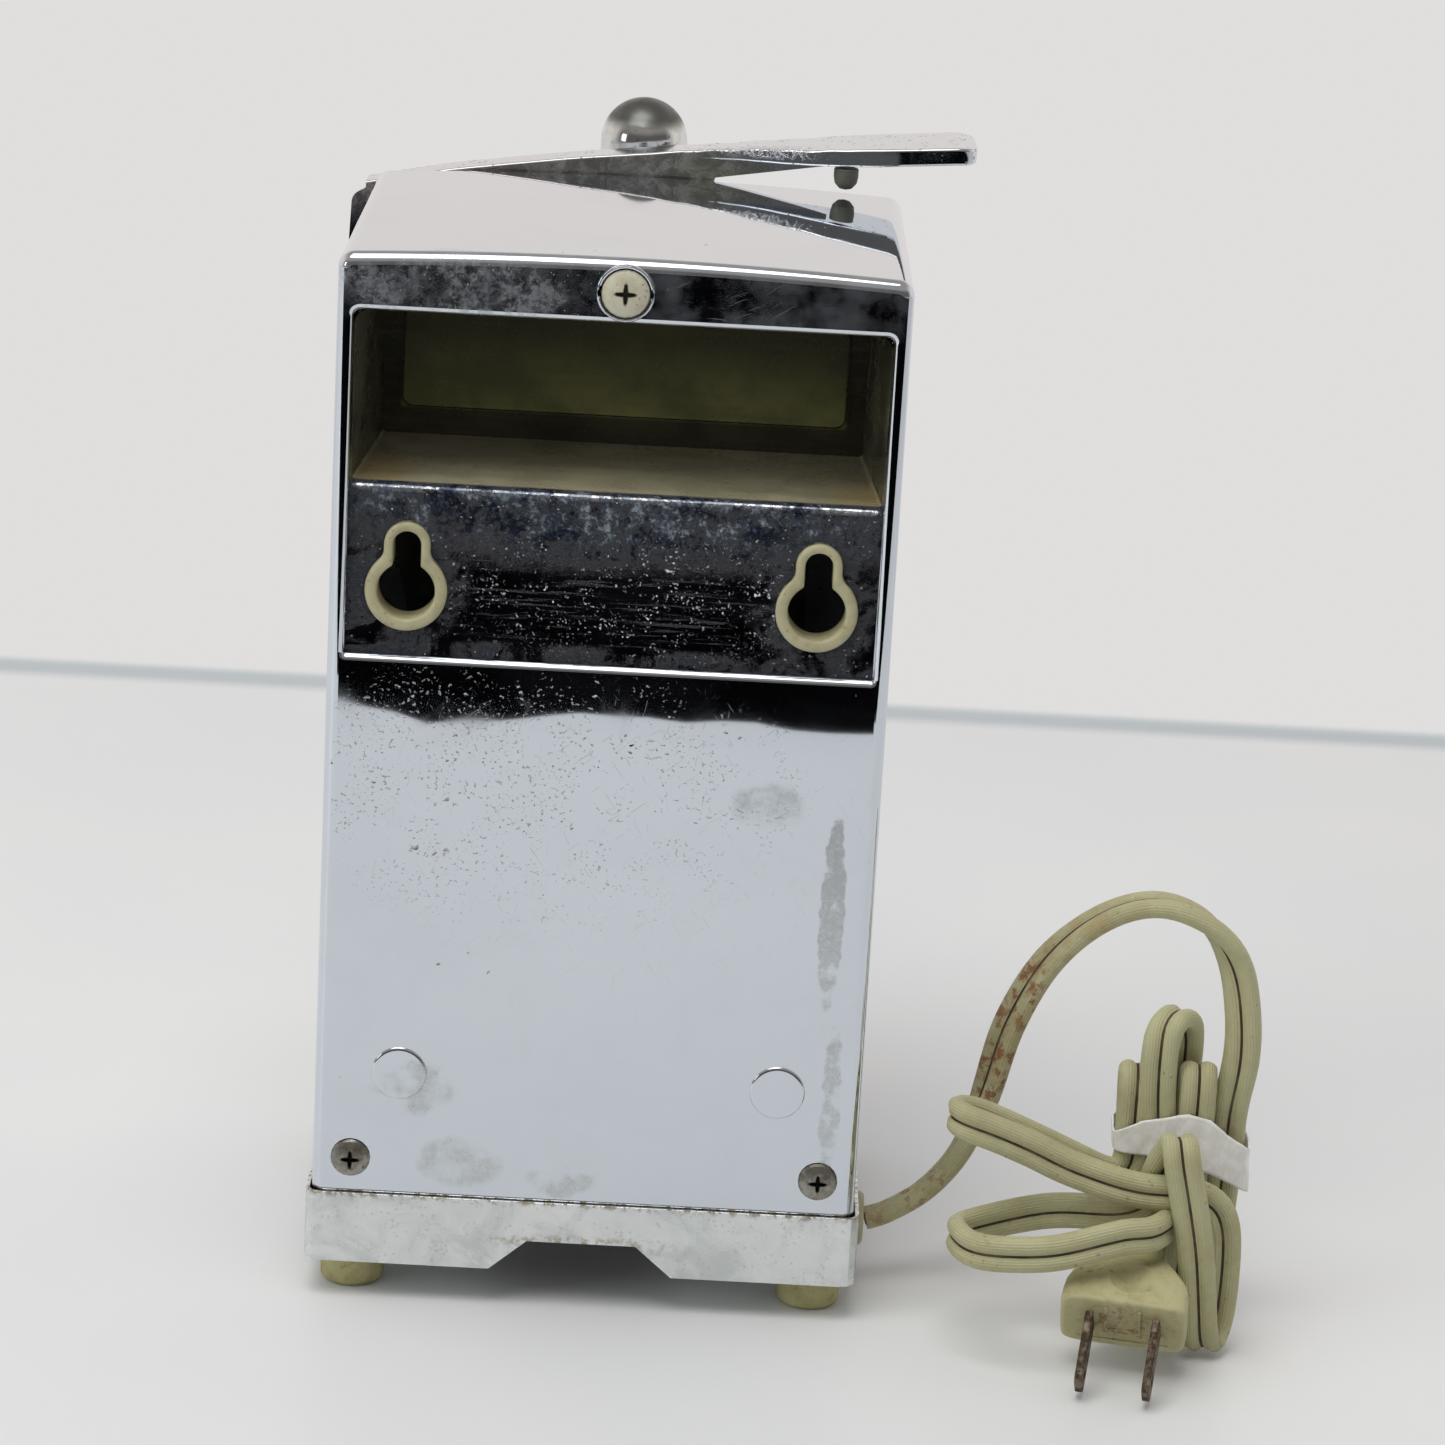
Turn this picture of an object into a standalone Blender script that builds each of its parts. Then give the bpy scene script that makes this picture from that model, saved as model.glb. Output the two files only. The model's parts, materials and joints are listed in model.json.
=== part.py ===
"""Electric can opener, upright table model with wall-hanging keyholes.

Body frame used below: x to the right seen from the front, d the depth from the flat back face
towards the front, z up from the surface the feet stand on, all in millimetres.
The parent empty turns it into the world frame: +Z up, front towards -Y, origin on the
standing surface under the middle of the machine.
"""

import math

import bmesh
import bpy
from mathutils import Matrix, Vector

MM = 0.001
GAP = 0.3

# Middle of the machine (cord left out) in the body frame, which becomes the origin.
MIDDLE_X = -4.5
MIDDLE_D = 61.56

# Housing
HALF_WIDTH = 52.4
SHELL_TOP = 206.5
SHELL_BOTTOM = 17.6
SHELL_DEPTH = 84.7
SHELL_WALL = 1.2
BEND = 2.4
CORNER = 3.1
CROWN_RADIUS = 860.0
RECESS_HALF = 49.6
RECESS_LOW = 129.0
RECESS_HIGH = 194.9
RECESS_DEPTH = 1.7
POCKET_LOW = 162.5
POCKET_HIGH = 193.2
POCKET_DEPTH = 37.0
POCKET_HALF = 48.4
POCKET_BACK_HALF = 46.1
TOP_SCREW_Z = 200.4
LOWER_SCREW_X = 45.0
LOWER_SCREW_Z = 28.8

# Base
PAN_HALF = 53.5
PAN_LOW = 7.4
PAN_HIGH = 21.8
PAN_REAR = -1.1
PAN_FRONT = 87.0
PAN_WALL = 0.8
NOTCH_HIGH = 13.6
FOOT_RADIUS = 6.35
FOOT_X = 44.7
FOOT_REAR = 9.4
FOOT_FRONT = 76.0

# Wall keyholes
KEYHOLE_X = 38.1
KEYHOLE_LOW_Z = 141.9
KEYHOLE_HIGH_Z = 150.7
KEYHOLE_RADIUS = 5.4
SLOT_HALF = 2.6

# Lever and cutter, all pivots run along d
PIVOT = (44.0, 193.0)
LEVER_BACK = 86.3
LEVER_SHEET = 2.0
ARM_FRONT = 94.3
CUTTER = (0.0, 190.5)
CUTTER_RADIUS = 11.0
FEED = (0.0, 172.0)
FEED_RADIUS = 9.5

SWITCH = (38.0, 69.0)

# Magnet arm
HINGE_D = 98.0
HINGE_Z = 204.0
MAGNET_D = 116.5
MAGNET_RADIUS = 8.9
DOME_Z = 208.4

# Gear train: module and tooth counts of each pair, arbors as (x, z)
ROTOR = (0.0, 104.06)
FIRST = (-6.0, 125.28)
SECOND = (8.0, 145.69)
ROTOR_PAIR = (0.7, 9, 54)
MIDDLE_PAIR = (0.9, 10, 45)
DRIVE_PAIR = (1.1, 10, 40)
GEAR_PLATE_D = 58.0
FRAME_D = 79.9

# Cord: a flat twin cord as wide as CORD_WIDTH, which leaves through the side of the base
CORD_WIDTH = 6.8
EXIT_D = 20.0
EXIT_Z = 13.2
HANK_FRONT = 5.2
HANK_BACK = 15.4

# Centre lines of the cord's free lengths, as (x, d, z)
ARCH = [
    (-55.5, 20.0, 13.2), (-58.0, 20.3, 13.8), (-61.5, 21.0, 15.4), (-67.0, 21.8, 19.0), (-72.5, 22.0, 25.8),
    (-76.0, 21.8, 34.0), (-78.0, 21.0, 42.0), (-81.2, 20.0, 56.0), (-87.8, 18.8, 69.8), (-97.4, 17.0, 79.6),
    (-107.6, 15.2, 83.6), (-117.2, 13.6, 80.8), (-122.8, 12.4, 73.8), (-125.2, 11.4, 63.7), (-125.6, 10.6, 54.6),
]
UPPER_BIGHT = [(-100.5, -2.2, 33.8), (-92.0, -1.2, 36.4), (-82.0, 0.2, 40.0), (-74.6, 1.0, 42.6), (-71.4, 1.2, 43.6)]
LOWER_LOOP = [
    (-100.4, 8.0, 25.6), (-94.0, 6.2, 24.2), (-86.0, 3.2, 23.2), (-78.8, 0.6, 22.2), (-75.2, -4.6, 21.9),
    (-75.6, -10.6, 22.4), (-80.0, -15.6, 23.2), (-88.0, -18.2, 25.0), (-96.0, -18.0, 27.0), (-101.6, -16.0, 28.6),
    (-105.2, -11.0, 29.8), (-105.8, -4.4, 30.0), (-104.8, 0.6, 30.0), (-104.6, 4.9, 30.0),
]
PLUG_LEAD = [(-107.7, -1.4, 18.6), (-108.0, 0.4, 19.2), (-108.4, 2.4, 19.6), (-108.5, 4.6, 19.7)]

# Plug: middle of its blade face, its two slopes, and (distance, half width, half thickness) rings;
# the blades are bent down from the face and start from a point of their own
PLUG_FACE = (-103.5, -20.7, 11.5)
PLUG_YAW = 12.0
PLUG_PITCH = 20.0
BLADE_ROOT = (-103.9, -20.3, 14.0)
BLADE_PITCH = 42.0
PLUG_SECTIONS = [(0, 11.7, 5.7), (-1.6, 12.1, 6.1), (-5.0, 12.1, 6.1), (-9.0, 10.2, 6.0), (-13.5, 7.4, 5.0),
                 (-18.0, 4.8, 3.4), (-20.0, 4.2, 2.6)]
BLADE = (1.5, 13.2, 6.3)
BLADE_CENTRE = 10.0
BLADE_SPACING = 12.7

LOOKS = {
    "chrome": ((0.80, 0.81, 0.83), 1.0, 0.12),
    "satin_steel": ((0.60, 0.60, 0.59), 1.0, 0.38),
    "zinc": ((0.52, 0.52, 0.50), 1.0, 0.45),
    "dark_steel": ((0.22, 0.21, 0.20), 1.0, 0.50),
    "cream_plastic": ((0.60, 0.57, 0.43), 0.0, 0.45),
    "putty_rubber": ((0.52, 0.50, 0.39), 0.0, 0.70),
    "grey_rubber": ((0.25, 0.24, 0.22), 0.0, 0.75),
    "lamination": ((0.30, 0.29, 0.28), 0.8, 0.55),
    "copper": ((0.60, 0.28, 0.13), 0.9, 0.40),
    "bronze": ((0.55, 0.38, 0.18), 0.9, 0.40),
    "nylon": ((0.78, 0.74, 0.62), 0.0, 0.50),
    "black_plastic": ((0.04, 0.04, 0.04), 0.0, 0.45),
    "magnet": ((0.14, 0.14, 0.15), 0.4, 0.55),
    "cord": ((0.52, 0.50, 0.38), 0.0, 0.60),
    "tie": ((0.85, 0.85, 0.82), 0.0, 0.80),
    "brass": ((0.42, 0.28, 0.16), 0.9, 0.50),
}


def clear_scene():
    for obj in list(bpy.data.objects):
        bpy.data.objects.remove(obj, do_unlink=True)


def place(x, d, z):
    return Vector((x, -d, z)) * MM


def material(look):
    found = bpy.data.materials.get(look)
    if found:
        return found
    colour, metallic, roughness = LOOKS[look]
    made = bpy.data.materials.new(look)
    made.use_nodes = True
    shader = made.node_tree.nodes["Principled BSDF"]
    shader.inputs["Base Color"].default_value = (*colour, 1.0)
    shader.inputs["Metallic"].default_value = metallic
    shader.inputs["Roughness"].default_value = roughness
    return made


# ---------------------------------------------------------------- outlines (lists of points)


def arc(cx, cz, radius, start, stop, steps):
    """Points on a circle from start to stop degrees, both included."""
    angles = [math.radians(start + (stop - start) * i / steps) for i in range(steps + 1)]
    return [(cx + radius * math.cos(a), cz + radius * math.sin(a)) for a in angles]


def circle(cx, cz, radius, sides=24):
    return arc(cx, cz, radius, 0, 360 - 360 / sides, sides - 1)


def rectangle(x0, x1, z0, z1):
    return [(x0, z0), (x1, z0), (x1, z1), (x0, z1)]


def rounded(points, radius, steps=3):
    """The polygon with each corner replaced by an arc; radius is one value or one per corner."""
    radii = radius if isinstance(radius, (list, tuple)) else [radius] * len(points)
    result = []
    for i, corner in enumerate(points):
        here = Vector(corner)
        before = (Vector(points[i - 1]) - here).normalized()
        after = (Vector(points[(i + 1) % len(points)]) - here).normalized()
        if radii[i] <= 0:
            result.append(tuple(here))
            continue
        half = before.angle(after) / 2
        reach = radii[i] / math.tan(half)
        centre = here + (before + after).normalized() * (radii[i] / math.sin(half))
        first, last = here + before * reach - centre, here + after * reach - centre
        turn = first.angle_signed(last)
        for k in range(steps + 1):
            spun = first.copy()
            spun.rotate(Matrix.Rotation(-turn * k / steps, 2))
            result.append(tuple(centre + spun))
    return result


def crown(x, inset=0.0):
    """Height of the gently arched top at x."""
    return SHELL_TOP - inset - x * x / (2 * CROWN_RADIUS)


def shell_outline(half, inset, bottom, radius):
    """Front view of the wrap-round shell: straight sides and an arched top."""
    steps = 8
    top = [half - 2 * half * i / steps for i in range(steps + 1)]
    points = [(-half, bottom), (half, bottom)] + [(x, crown(x, inset)) for x in top]
    radii = [0, 0, radius] + [0] * (steps - 1) + [radius]
    return rounded(points, radii)


def hull_of_circles(cx, low_z, low_radius, high_z, high_radius, steps=8):
    """Pear outline: a large circle below and a small one above, joined by tangents."""
    tilt = math.degrees(math.asin((low_radius - high_radius) / (high_z - low_z)))
    below = arc(cx, low_z, low_radius, 180 - tilt, 360 + tilt, steps * 2)
    above = arc(cx, high_z, high_radius, tilt, 180 - tilt, steps)
    return below + above


def keyhole(cx, radius, slot_half):
    """A round entry with a narrower slot above it."""
    mouth = math.degrees(math.acos(slot_half / radius))
    entry = arc(cx, KEYHOLE_LOW_Z, radius, 180 - mouth, 360 + mouth, 16)
    return entry + arc(cx, KEYHOLE_HIGH_Z, slot_half, 0, 180, 6)


def gear_outline(centre, module, teeth, phase):
    """Straight-flanked teeth, a little slim so that meshed pairs keep some backlash."""
    radius = module * teeth / 2
    pitch = 2 * math.pi / teeth
    flank = [(-0.30, -0.95), (-0.10, 0.72), (0.10, 0.72), (0.30, -0.95)]
    points = []
    for i in range(teeth):
        for share, height in flank:
            angle = phase + (i + share) * pitch
            reach = radius + height * module
            points.append((centre[0] + reach * math.cos(angle), centre[1] + reach * math.sin(angle)))
    return points


# ---------------------------------------------------------------- solids


def prism(outline, d0, d1):
    """An outline in the x-z plane made thick along d."""
    bm = bmesh.new()
    near = [bm.verts.new(place(x, d0, z)) for x, z in outline]
    far = [bm.verts.new(place(x, d1, z)) for x, z in outline]
    bm.faces.new(near)
    bm.faces.new(far)
    for i in range(len(outline)):
        j = (i + 1) % len(outline)
        bm.faces.new((near[i], near[j], far[j], far[i]))
    return bm


def slab(outline, z0, z1):
    """An outline in the x-d plane made thick along z."""
    bm = bmesh.new()
    low = [bm.verts.new(place(x, d, z0)) for x, d in outline]
    high = [bm.verts.new(place(x, d, z1)) for x, d in outline]
    bm.faces.new(low)
    bm.faces.new(high)
    for i in range(len(outline)):
        j = (i + 1) % len(outline)
        bm.faces.new((low[i], low[j], high[j], high[i]))
    return bm


def side_plate(outline, x0, x1):
    """An outline in the d-z plane made thick along x."""
    bm = bmesh.new()
    left = [bm.verts.new(place(x0, d, z)) for d, z in outline]
    right = [bm.verts.new(place(x1, d, z)) for d, z in outline]
    bm.faces.new(left)
    bm.faces.new(right)
    for i in range(len(outline)):
        j = (i + 1) % len(outline)
        bm.faces.new((left[i], left[j], right[j], right[i]))
    return bm


def block(x0, x1, d0, d1, z0, z1):
    return prism(rectangle(x0, x1, z0, z1), d0, d1)


def frustum(front, back, d0, d1):
    """A drafted block: front and back are (half width, low z, high z) at d0 and d1."""
    bm = bmesh.new()
    rings = []
    for (half, low, high), d in ((front, d0), (back, d1)):
        outline = rounded(rectangle(-half, half, low, high), 2.5, 2)
        rings.append([bm.verts.new(place(x, d, z)) for x, z in outline])
    bm.faces.new(rings[0])
    bm.faces.new(rings[1])
    count = len(rings[0])
    for i in range(count):
        j = (i + 1) % count
        bm.faces.new((rings[0][i], rings[0][j], rings[1][j], rings[1][i]))
    return bm


def turned(profile, origin, axis="d", sides=24, closed=False):
    """Spins a profile of (radius, distance along the axis) about an axis through origin.

    An open profile starts and ends on the axis; a closed one makes a ring with a bore.
    """
    along, u, v = {
        "d": (Vector((0, -1, 0)), Vector((1, 0, 0)), Vector((0, 0, 1))),
        "z": (Vector((0, 0, 1)), Vector((1, 0, 0)), Vector((0, 1, 0))),
        "x": (Vector((1, 0, 0)), Vector((0, 1, 0)), Vector((0, 0, 1))),
    }[axis]
    base = place(*origin)
    bm = bmesh.new()
    rings = []
    for radius, distance in profile:
        centre = base + along * distance * MM
        if radius == 0:
            rings.append([bm.verts.new(centre)] * sides)
            continue
        ring = []
        for k in range(sides):
            angle = 2 * math.pi * k / sides
            ring.append(bm.verts.new(centre + (u * math.cos(angle) + v * math.sin(angle)) * radius * MM))
        rings.append(ring)
    pairs = list(zip(rings, rings[1:]))
    if closed:
        pairs.append((rings[-1], rings[0]))
    for one, two in pairs:
        for k in range(sides):
            corners = [one[k], one[(k + 1) % sides], two[(k + 1) % sides], two[k]]
            bm.faces.new(list(dict.fromkeys(corners)))
    return bm


def rod(x, z, radius, d0, d1, sides=24):
    length = d1 - d0
    return turned([(0, 0), (radius, 0), (radius, length), (0, length)], (x, d0, z), "d", sides)


def tube(x, z, inner, outer, d0, d1, sides=24):
    length = d1 - d0
    return turned([(inner, 0), (outer, 0), (outer, length), (inner, length)], (x, d0, z), "d", sides, True)


def mesh_object(name, bm, look, pivot):
    bmesh.ops.recalc_face_normals(bm, faces=bm.faces)
    bmesh.ops.translate(bm, verts=bm.verts, vec=-pivot)
    mesh = bpy.data.meshes.new(name)
    bm.to_mesh(mesh)
    bm.free()
    mesh.shade_smooth()
    mesh.set_sharp_from_angle(angle=math.radians(30))
    obj = bpy.data.objects.new(name, mesh)
    obj.location = pivot
    obj.parent = bpy.data.objects["can_opener"]
    bpy.context.scene.collection.objects.link(obj)
    if look:
        mesh.materials.append(material(look))
    return obj


def solid(name, look, first, joined=(), cut=(), added=(), pivot=(0, 0, 0)):
    """One named piece: the first shape, others joined to it, cutters taken away, then more added."""
    obj = mesh_object(name, first, look, place(*pivot))
    for step, operation, shapes in (("join", "UNION", joined), ("cut", "DIFFERENCE", cut), ("add", "UNION", added)):
        for i, shape in enumerate(shapes):
            helper = mesh_object(f"{name}_{step}_{i}", shape, None, Vector((0, 0, 0)))
            helper.hide_render = True
            helper.display_type = "WIRE"
            helper.hide_set(True)
            modifier = obj.modifiers.new(f"{step}_{i}", "BOOLEAN")
            modifier.operation = operation
            modifier.object = helper
    return obj


def cord_tube(name, look, points, radius, resolution=2):
    """A round tube along a smooth curve through the points, as a bevelled poly curve."""
    curve = bpy.data.curves.new(name, "CURVE")
    curve.dimensions = "3D"
    curve.bevel_depth = radius * MM
    curve.bevel_resolution = resolution
    curve.use_fill_caps = True
    curve.materials.append(material(look))
    line = smooth_line([place(*p) for p in points], radius * 4.4 * MM)
    spline = curve.splines.new("POLY")
    spline.points.add(len(line) - 1)
    for point, spot in zip(spline.points, line):
        point.co = (*spot, 1.0)
    obj = bpy.data.objects.new(name, curve)
    obj.parent = bpy.data.objects["can_opener"]
    bpy.context.scene.collection.objects.link(obj)
    return obj


def smooth_line(points, spacing):
    """Evenly spaced points along a Catmull-Rom curve through the given ones."""
    fine = []
    padded = [2 * points[0] - points[1]] + points + [2 * points[-1] - points[-2]]
    for i in range(1, len(padded) - 2):
        a, b, c, e = padded[i - 1 : i + 3]
        for k in range(12):
            t = k / 12
            fine.append(
                0.5 * (2 * b + (c - a) * t + (2 * a - 5 * b + 4 * c - e) * t * t + (3 * b - a - 3 * c + e) * t**3)
            )
    fine.append(points[-1])
    reach = [0.0]
    for one, two in zip(fine, fine[1:]):
        reach.append(reach[-1] + (two - one).length)
    count = max(2, round(reach[-1] / spacing))
    line, k = [], 0
    for i in range(count + 1):
        goal = reach[-1] * i / count
        while k < len(fine) - 2 and reach[k + 1] < goal:
            k += 1
        share = (goal - reach[k]) / max(reach[k + 1] - reach[k], 1e-12)
        line.append(fine[k].lerp(fine[k + 1], min(share, 1.0)))
    return line


# ---------------------------------------------------------------- housing


def rear_edges_bevelled(bm, radius):
    """Rounds the edges between the back face (the smallest d) and the walls."""
    back = max(v.co.y for v in bm.verts)
    lowest = min(v.co.z for v in bm.verts)
    edges = [
        e
        for e in bm.edges
        if all(abs(v.co.y - back) < 1e-6 for v in e.verts) and not all(v.co.z < lowest + 1e-6 for v in e.verts)
    ]
    bmesh.ops.bevel(bm, geom=edges, offset=radius * MM, segments=3, profile=0.5, affect="EDGES")
    return bm


def make_rear_shell():
    outer = rear_edges_bevelled(prism(shell_outline(HALF_WIDTH, 0, SHELL_BOTTOM, CORNER), 0, SHELL_DEPTH), BEND)
    inside_bend = BEND - SHELL_WALL
    inner = rear_edges_bevelled(
        prism(
            shell_outline(HALF_WIDTH - SHELL_WALL, SHELL_WALL, SHELL_BOTTOM - 5, CORNER - SHELL_WALL),
            SHELL_WALL,
            SHELL_DEPTH + 5,
        ),
        inside_bend,
    )
    draft = 0.8
    opening = frustum(
        (RECESS_HALF + draft, RECESS_LOW - draft, RECESS_HIGH + draft),
        (RECESS_HALF - draft, RECESS_LOW + draft, RECESS_HIGH - draft),
        -2.0,
        2.0,
    )
    holes = [rod(0, TOP_SCREW_Z, 2.6, -1, 3, 12)]
    holes += [rod(side * LOWER_SCREW_X, LOWER_SCREW_Z, 2.3, -1, 3, 12) for side in (-1, 1)]
    solid("rear_shell", "chrome", outer, cut=[inner, opening, *holes])


def make_hand_pocket():
    """Pressed panel behind the shell opening: keyhole plate below, finger pocket above."""
    thick = 1.2
    back = RECESS_DEPTH + thick
    plate = prism(rounded(rectangle(-50.6, 50.6, 127.6, 196.3), 2.0), RECESS_DEPTH, back)
    wall = 1.2
    outer = frustum(
        (POCKET_HALF + wall, POCKET_LOW - wall, POCKET_HIGH + wall),
        (POCKET_BACK_HALF + wall, POCKET_LOW - wall + 1.0, POCKET_HIGH + wall - 1.6),
        back - 0.4,
        POCKET_DEPTH + wall,
    )
    inner = frustum(
        (POCKET_HALF, POCKET_LOW, POCKET_HIGH),
        (POCKET_BACK_HALF, POCKET_LOW + 1.0, POCKET_HIGH - 1.6),
        RECESS_DEPTH - 0.6,
        POCKET_DEPTH,
    )
    emboss = prism(rounded(rectangle(-42.5, 42.5, 168.7, 188.5), 2.0, 2), POCKET_DEPTH - 0.9, POCKET_DEPTH + 0.5)
    sleeves = [
        prism(hull_of_circles(s * KEYHOLE_X, KEYHOLE_LOW_Z, 6.9, KEYHOLE_HIGH_Z, 4.0), 1, 4) for s in (-1, 1)
    ]
    solid("hand_pocket", "chrome", plate, joined=[outer], cut=[inner, *sleeves], added=[emboss])


def make_keyhole_bushes():
    for side, name in ((1, "left"), (-1, "right")):
        x = side * KEYHOLE_X
        rim = prism(hull_of_circles(x, KEYHOLE_LOW_Z, 8.0, KEYHOLE_HIGH_Z, 4.4), 0.3, RECESS_DEPTH - GAP)
        sleeve = prism(hull_of_circles(x, KEYHOLE_LOW_Z, 6.5, KEYHOLE_HIGH_Z, 3.6), RECESS_DEPTH - GAP - 0.2, 6.5)
        hole = prism(keyhole(x, KEYHOLE_RADIUS, SLOT_HALF), -1, 8)
        solid(f"keyhole_bush_{name}", "cream_plastic", rim, joined=[sleeve], cut=[hole], pivot=(x, 0, KEYHOLE_LOW_Z))


def phillips_cut(x, z, head_d, size):
    """Cross-shaped recess in a screw head whose face is at head_d and looks out of the back."""
    arm = size * 0.17
    return [
        block(x - size, x + size, head_d - 1, head_d + 0.9, z - arm, z + arm),
        block(x - arm, x + arm, head_d - 1, head_d + 0.9, z - size, z + size),
    ]


def back_screw(name, look, x, z, head_radius, face_d, under_d, shank, length):
    """A cross-head screw driven in through the back face."""
    dome = [(0, 0), (head_radius * 0.62, 0.15), (head_radius * 0.92, 0.7), (head_radius, under_d - face_d)]
    profile = dome + [(shank, under_d - face_d), (shank, length), (0, length)]
    head = turned(profile, (x, face_d, z), "d", 20)
    solid(name, look, head, cut=phillips_cut(x, z, face_d, head_radius * 0.42), pivot=(x, 0, z))


def make_housing_screws():
    back_screw("top_screw", "cream_plastic", 0, TOP_SCREW_Z, 4.4, -2.3, -1.25, 2.2, 12)
    cup = [(2.7, 0.65), (4.65, 0.65), (4.75, 0.1), (5.0, 0), (5.35, 0.3), (5.35, 1.3), (2.7, 1.3)]
    washer = turned(cup, (0, -1.6, TOP_SCREW_Z), "d", 24, True)
    solid("top_screw_washer", "chrome", washer, pivot=(0, 0, TOP_SCREW_Z))
    for side, name in ((1, "left"), (-1, "right")):
        back_screw(f"lower_screw_{name}", "dark_steel", side * LOWER_SCREW_X, LOWER_SCREW_Z, 3.8, -1.6, -GAP, 1.9, 9)


def make_front_panel():
    inset = SHELL_WALL + GAP
    outline = shell_outline(HALF_WIDTH - inset, inset, PAN_LOW + 1.6, 1.4)
    panel = prism(outline, 82.6, SHELL_DEPTH)
    frame = prism(rounded(rectangle(-45.0, 45.0, 30.0, 150.0), 5.0), SHELL_DEPTH - 0.5, SHELL_DEPTH + 0.9)
    holes = [rod(*FEED, 5.4, 80, 88), rod(*PIVOT, 5.7, 80, 88)]
    solid("front_panel", "satin_steel", panel, joined=[frame], cut=holes)


def make_base_pan():
    corners = rounded(
        [(-PAN_HALF, PAN_REAR), (PAN_HALF, PAN_REAR), (PAN_HALF, PAN_FRONT), (-PAN_HALF, PAN_FRONT)], 3.0
    )
    inside = rounded(
        [
            (-PAN_HALF + PAN_WALL, PAN_REAR + PAN_WALL),
            (PAN_HALF - PAN_WALL, PAN_REAR + PAN_WALL),
            (PAN_HALF - PAN_WALL, PAN_FRONT - PAN_WALL),
            (-PAN_HALF + PAN_WALL, PAN_FRONT - PAN_WALL),
        ],
        1.4,
    )
    hollow = slab(inside, PAN_LOW + 1.2, PAN_HIGH + 5)
    notch = prism([(-17.7, PAN_LOW - 3), (17.7, PAN_LOW - 3), (17.7, PAN_LOW), (10.5, NOTCH_HIGH),
                   (-10.5, NOTCH_HIGH), (-17.7, PAN_LOW)], PAN_REAR - 2, PAN_REAR + 5)
    exit_hole = turned([(0, 0), (4.3, 0), (4.3, 8), (0, 8)], (-PAN_HALF - 4, EXIT_D, EXIT_Z), "x", 16)
    notch_floor = block(-17.7, 17.7, PAN_REAR + 2, 26, PAN_LOW - 2, PAN_LOW + 3)
    vents = [block(-24, 24, d, d + 3.5, PAN_LOW - 2, PAN_LOW + 3) for d in (32, 40, 48, 56)]
    solid("base_pan", "satin_steel", slab(corners, PAN_LOW, PAN_HIGH), cut=[hollow, notch, notch_floor, exit_hole, *vents])


def make_feet():
    profile = [(0, 0), (FOOT_RADIUS - 1.0, 0), (FOOT_RADIUS - 0.2, 0.8), (FOOT_RADIUS, 6.2), (5.4, 7.1), (0, 7.1)]
    for side, side_name in ((1, "left"), (-1, "right")):
        for depth, depth_name in ((FOOT_REAR, "rear"), (FOOT_FRONT, "front")):
            spot = (side * FOOT_X, depth, 0)
            solid(f"foot_{depth_name}_{side_name}", "putty_rubber", turned(profile, spot, "z"), pivot=spot)


# ---------------------------------------------------------------- drive


def make_frames():
    """Two plates that carry the gear arbors, kept apart by posts."""
    outline = [(-34, 92), (34, 92), (34, 118), (38, 158), (-30, 158), (-30, 118)]
    posts = [(-26, 100), (26, 100), (33, 152), (-25, 152)]
    pillars = [rod(x, z, 2.4, GEAR_PLATE_D + 1, FRAME_D - GAP, 10) for x, z in posts]
    bore = [rod(*ROTOR, 4.8, 50, 70, 20)]
    solid("gear_plate", "zinc", prism(rounded(outline, 4, 2), GEAR_PLATE_D, GEAR_PLATE_D + 1.5), joined=pillars,
          cut=bore)
    front = [(-38, 92), (38, 92), (50, 150), (50, 202), (34, 202), (24, 190), (-24, 190), (-38, 150)]
    holes = [rod(*FEED, 5.4, 75, 90), rod(*PIVOT, 5.7, 75, 90)]
    solid("front_frame", "zinc", prism(rounded(front, 4, 2), FRAME_D, FRAME_D + 1.8), cut=holes)


def make_motor():
    x, z = ROTOR
    core = prism(rounded(rectangle(-30, 30, 42, 126), 3, 2), 33, 55)
    window = block(-15.5, 15.5, 30, 60, 62, 82)
    solid("stator_core", "lamination", core, cut=[rod(x, z, 13.5, 30, 60, 32), window])
    coil = prism(rounded(rectangle(-15.0, 15.0, 36.5, 81.0), 3, 2), 25, 57.5)
    leg = prism(rectangle(-20, 20, 41.5, 62.4), 32.6, 55.4)
    solid("field_coil", "copper", coil, cut=[leg])
    bracket = prism(rounded(rectangle(-29, 29, 97, 111), 3, 2), 26, 27.6)
    legs = [block(s * 25 - 3, s * 25 + 3, 27, 33 - GAP, 99, 109) for s in (-1, 1)]
    solid("rear_bearing_bracket", "zinc", bracket, joined=legs, cut=[rod(x, z, 4.8, 20, 40, 20)])
    for name, d0, d1 in (("rear_bearing", 25, 29.6), ("front_bearing", 56.6, 61)):
        solid(name, "bronze", tube(x, z, 2.8, 4.5, d0, d1, 16), pivot=(x, d0, z))
    solid("rotor", "lamination", tube(x, z, 2.8, 12.9, 32.6, 55.4, 32), pivot=(x, 44, z))
    make_rotor_shaft()
    make_fan()


def make_rotor_shaft():
    x, z = ROTOR
    module, teeth, _ = ROTOR_PAIR
    toward = math.atan2(FIRST[1] - z, FIRST[0] - x)
    pinion = prism(gear_outline(ROTOR, module, teeth, toward), 61.4, 67.4)
    shaft = rod(x, z, 2.5, 14, 62, 16)
    solid("rotor_shaft", "satin_steel", shaft, joined=[pinion], pivot=(x, 44, z))


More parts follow.
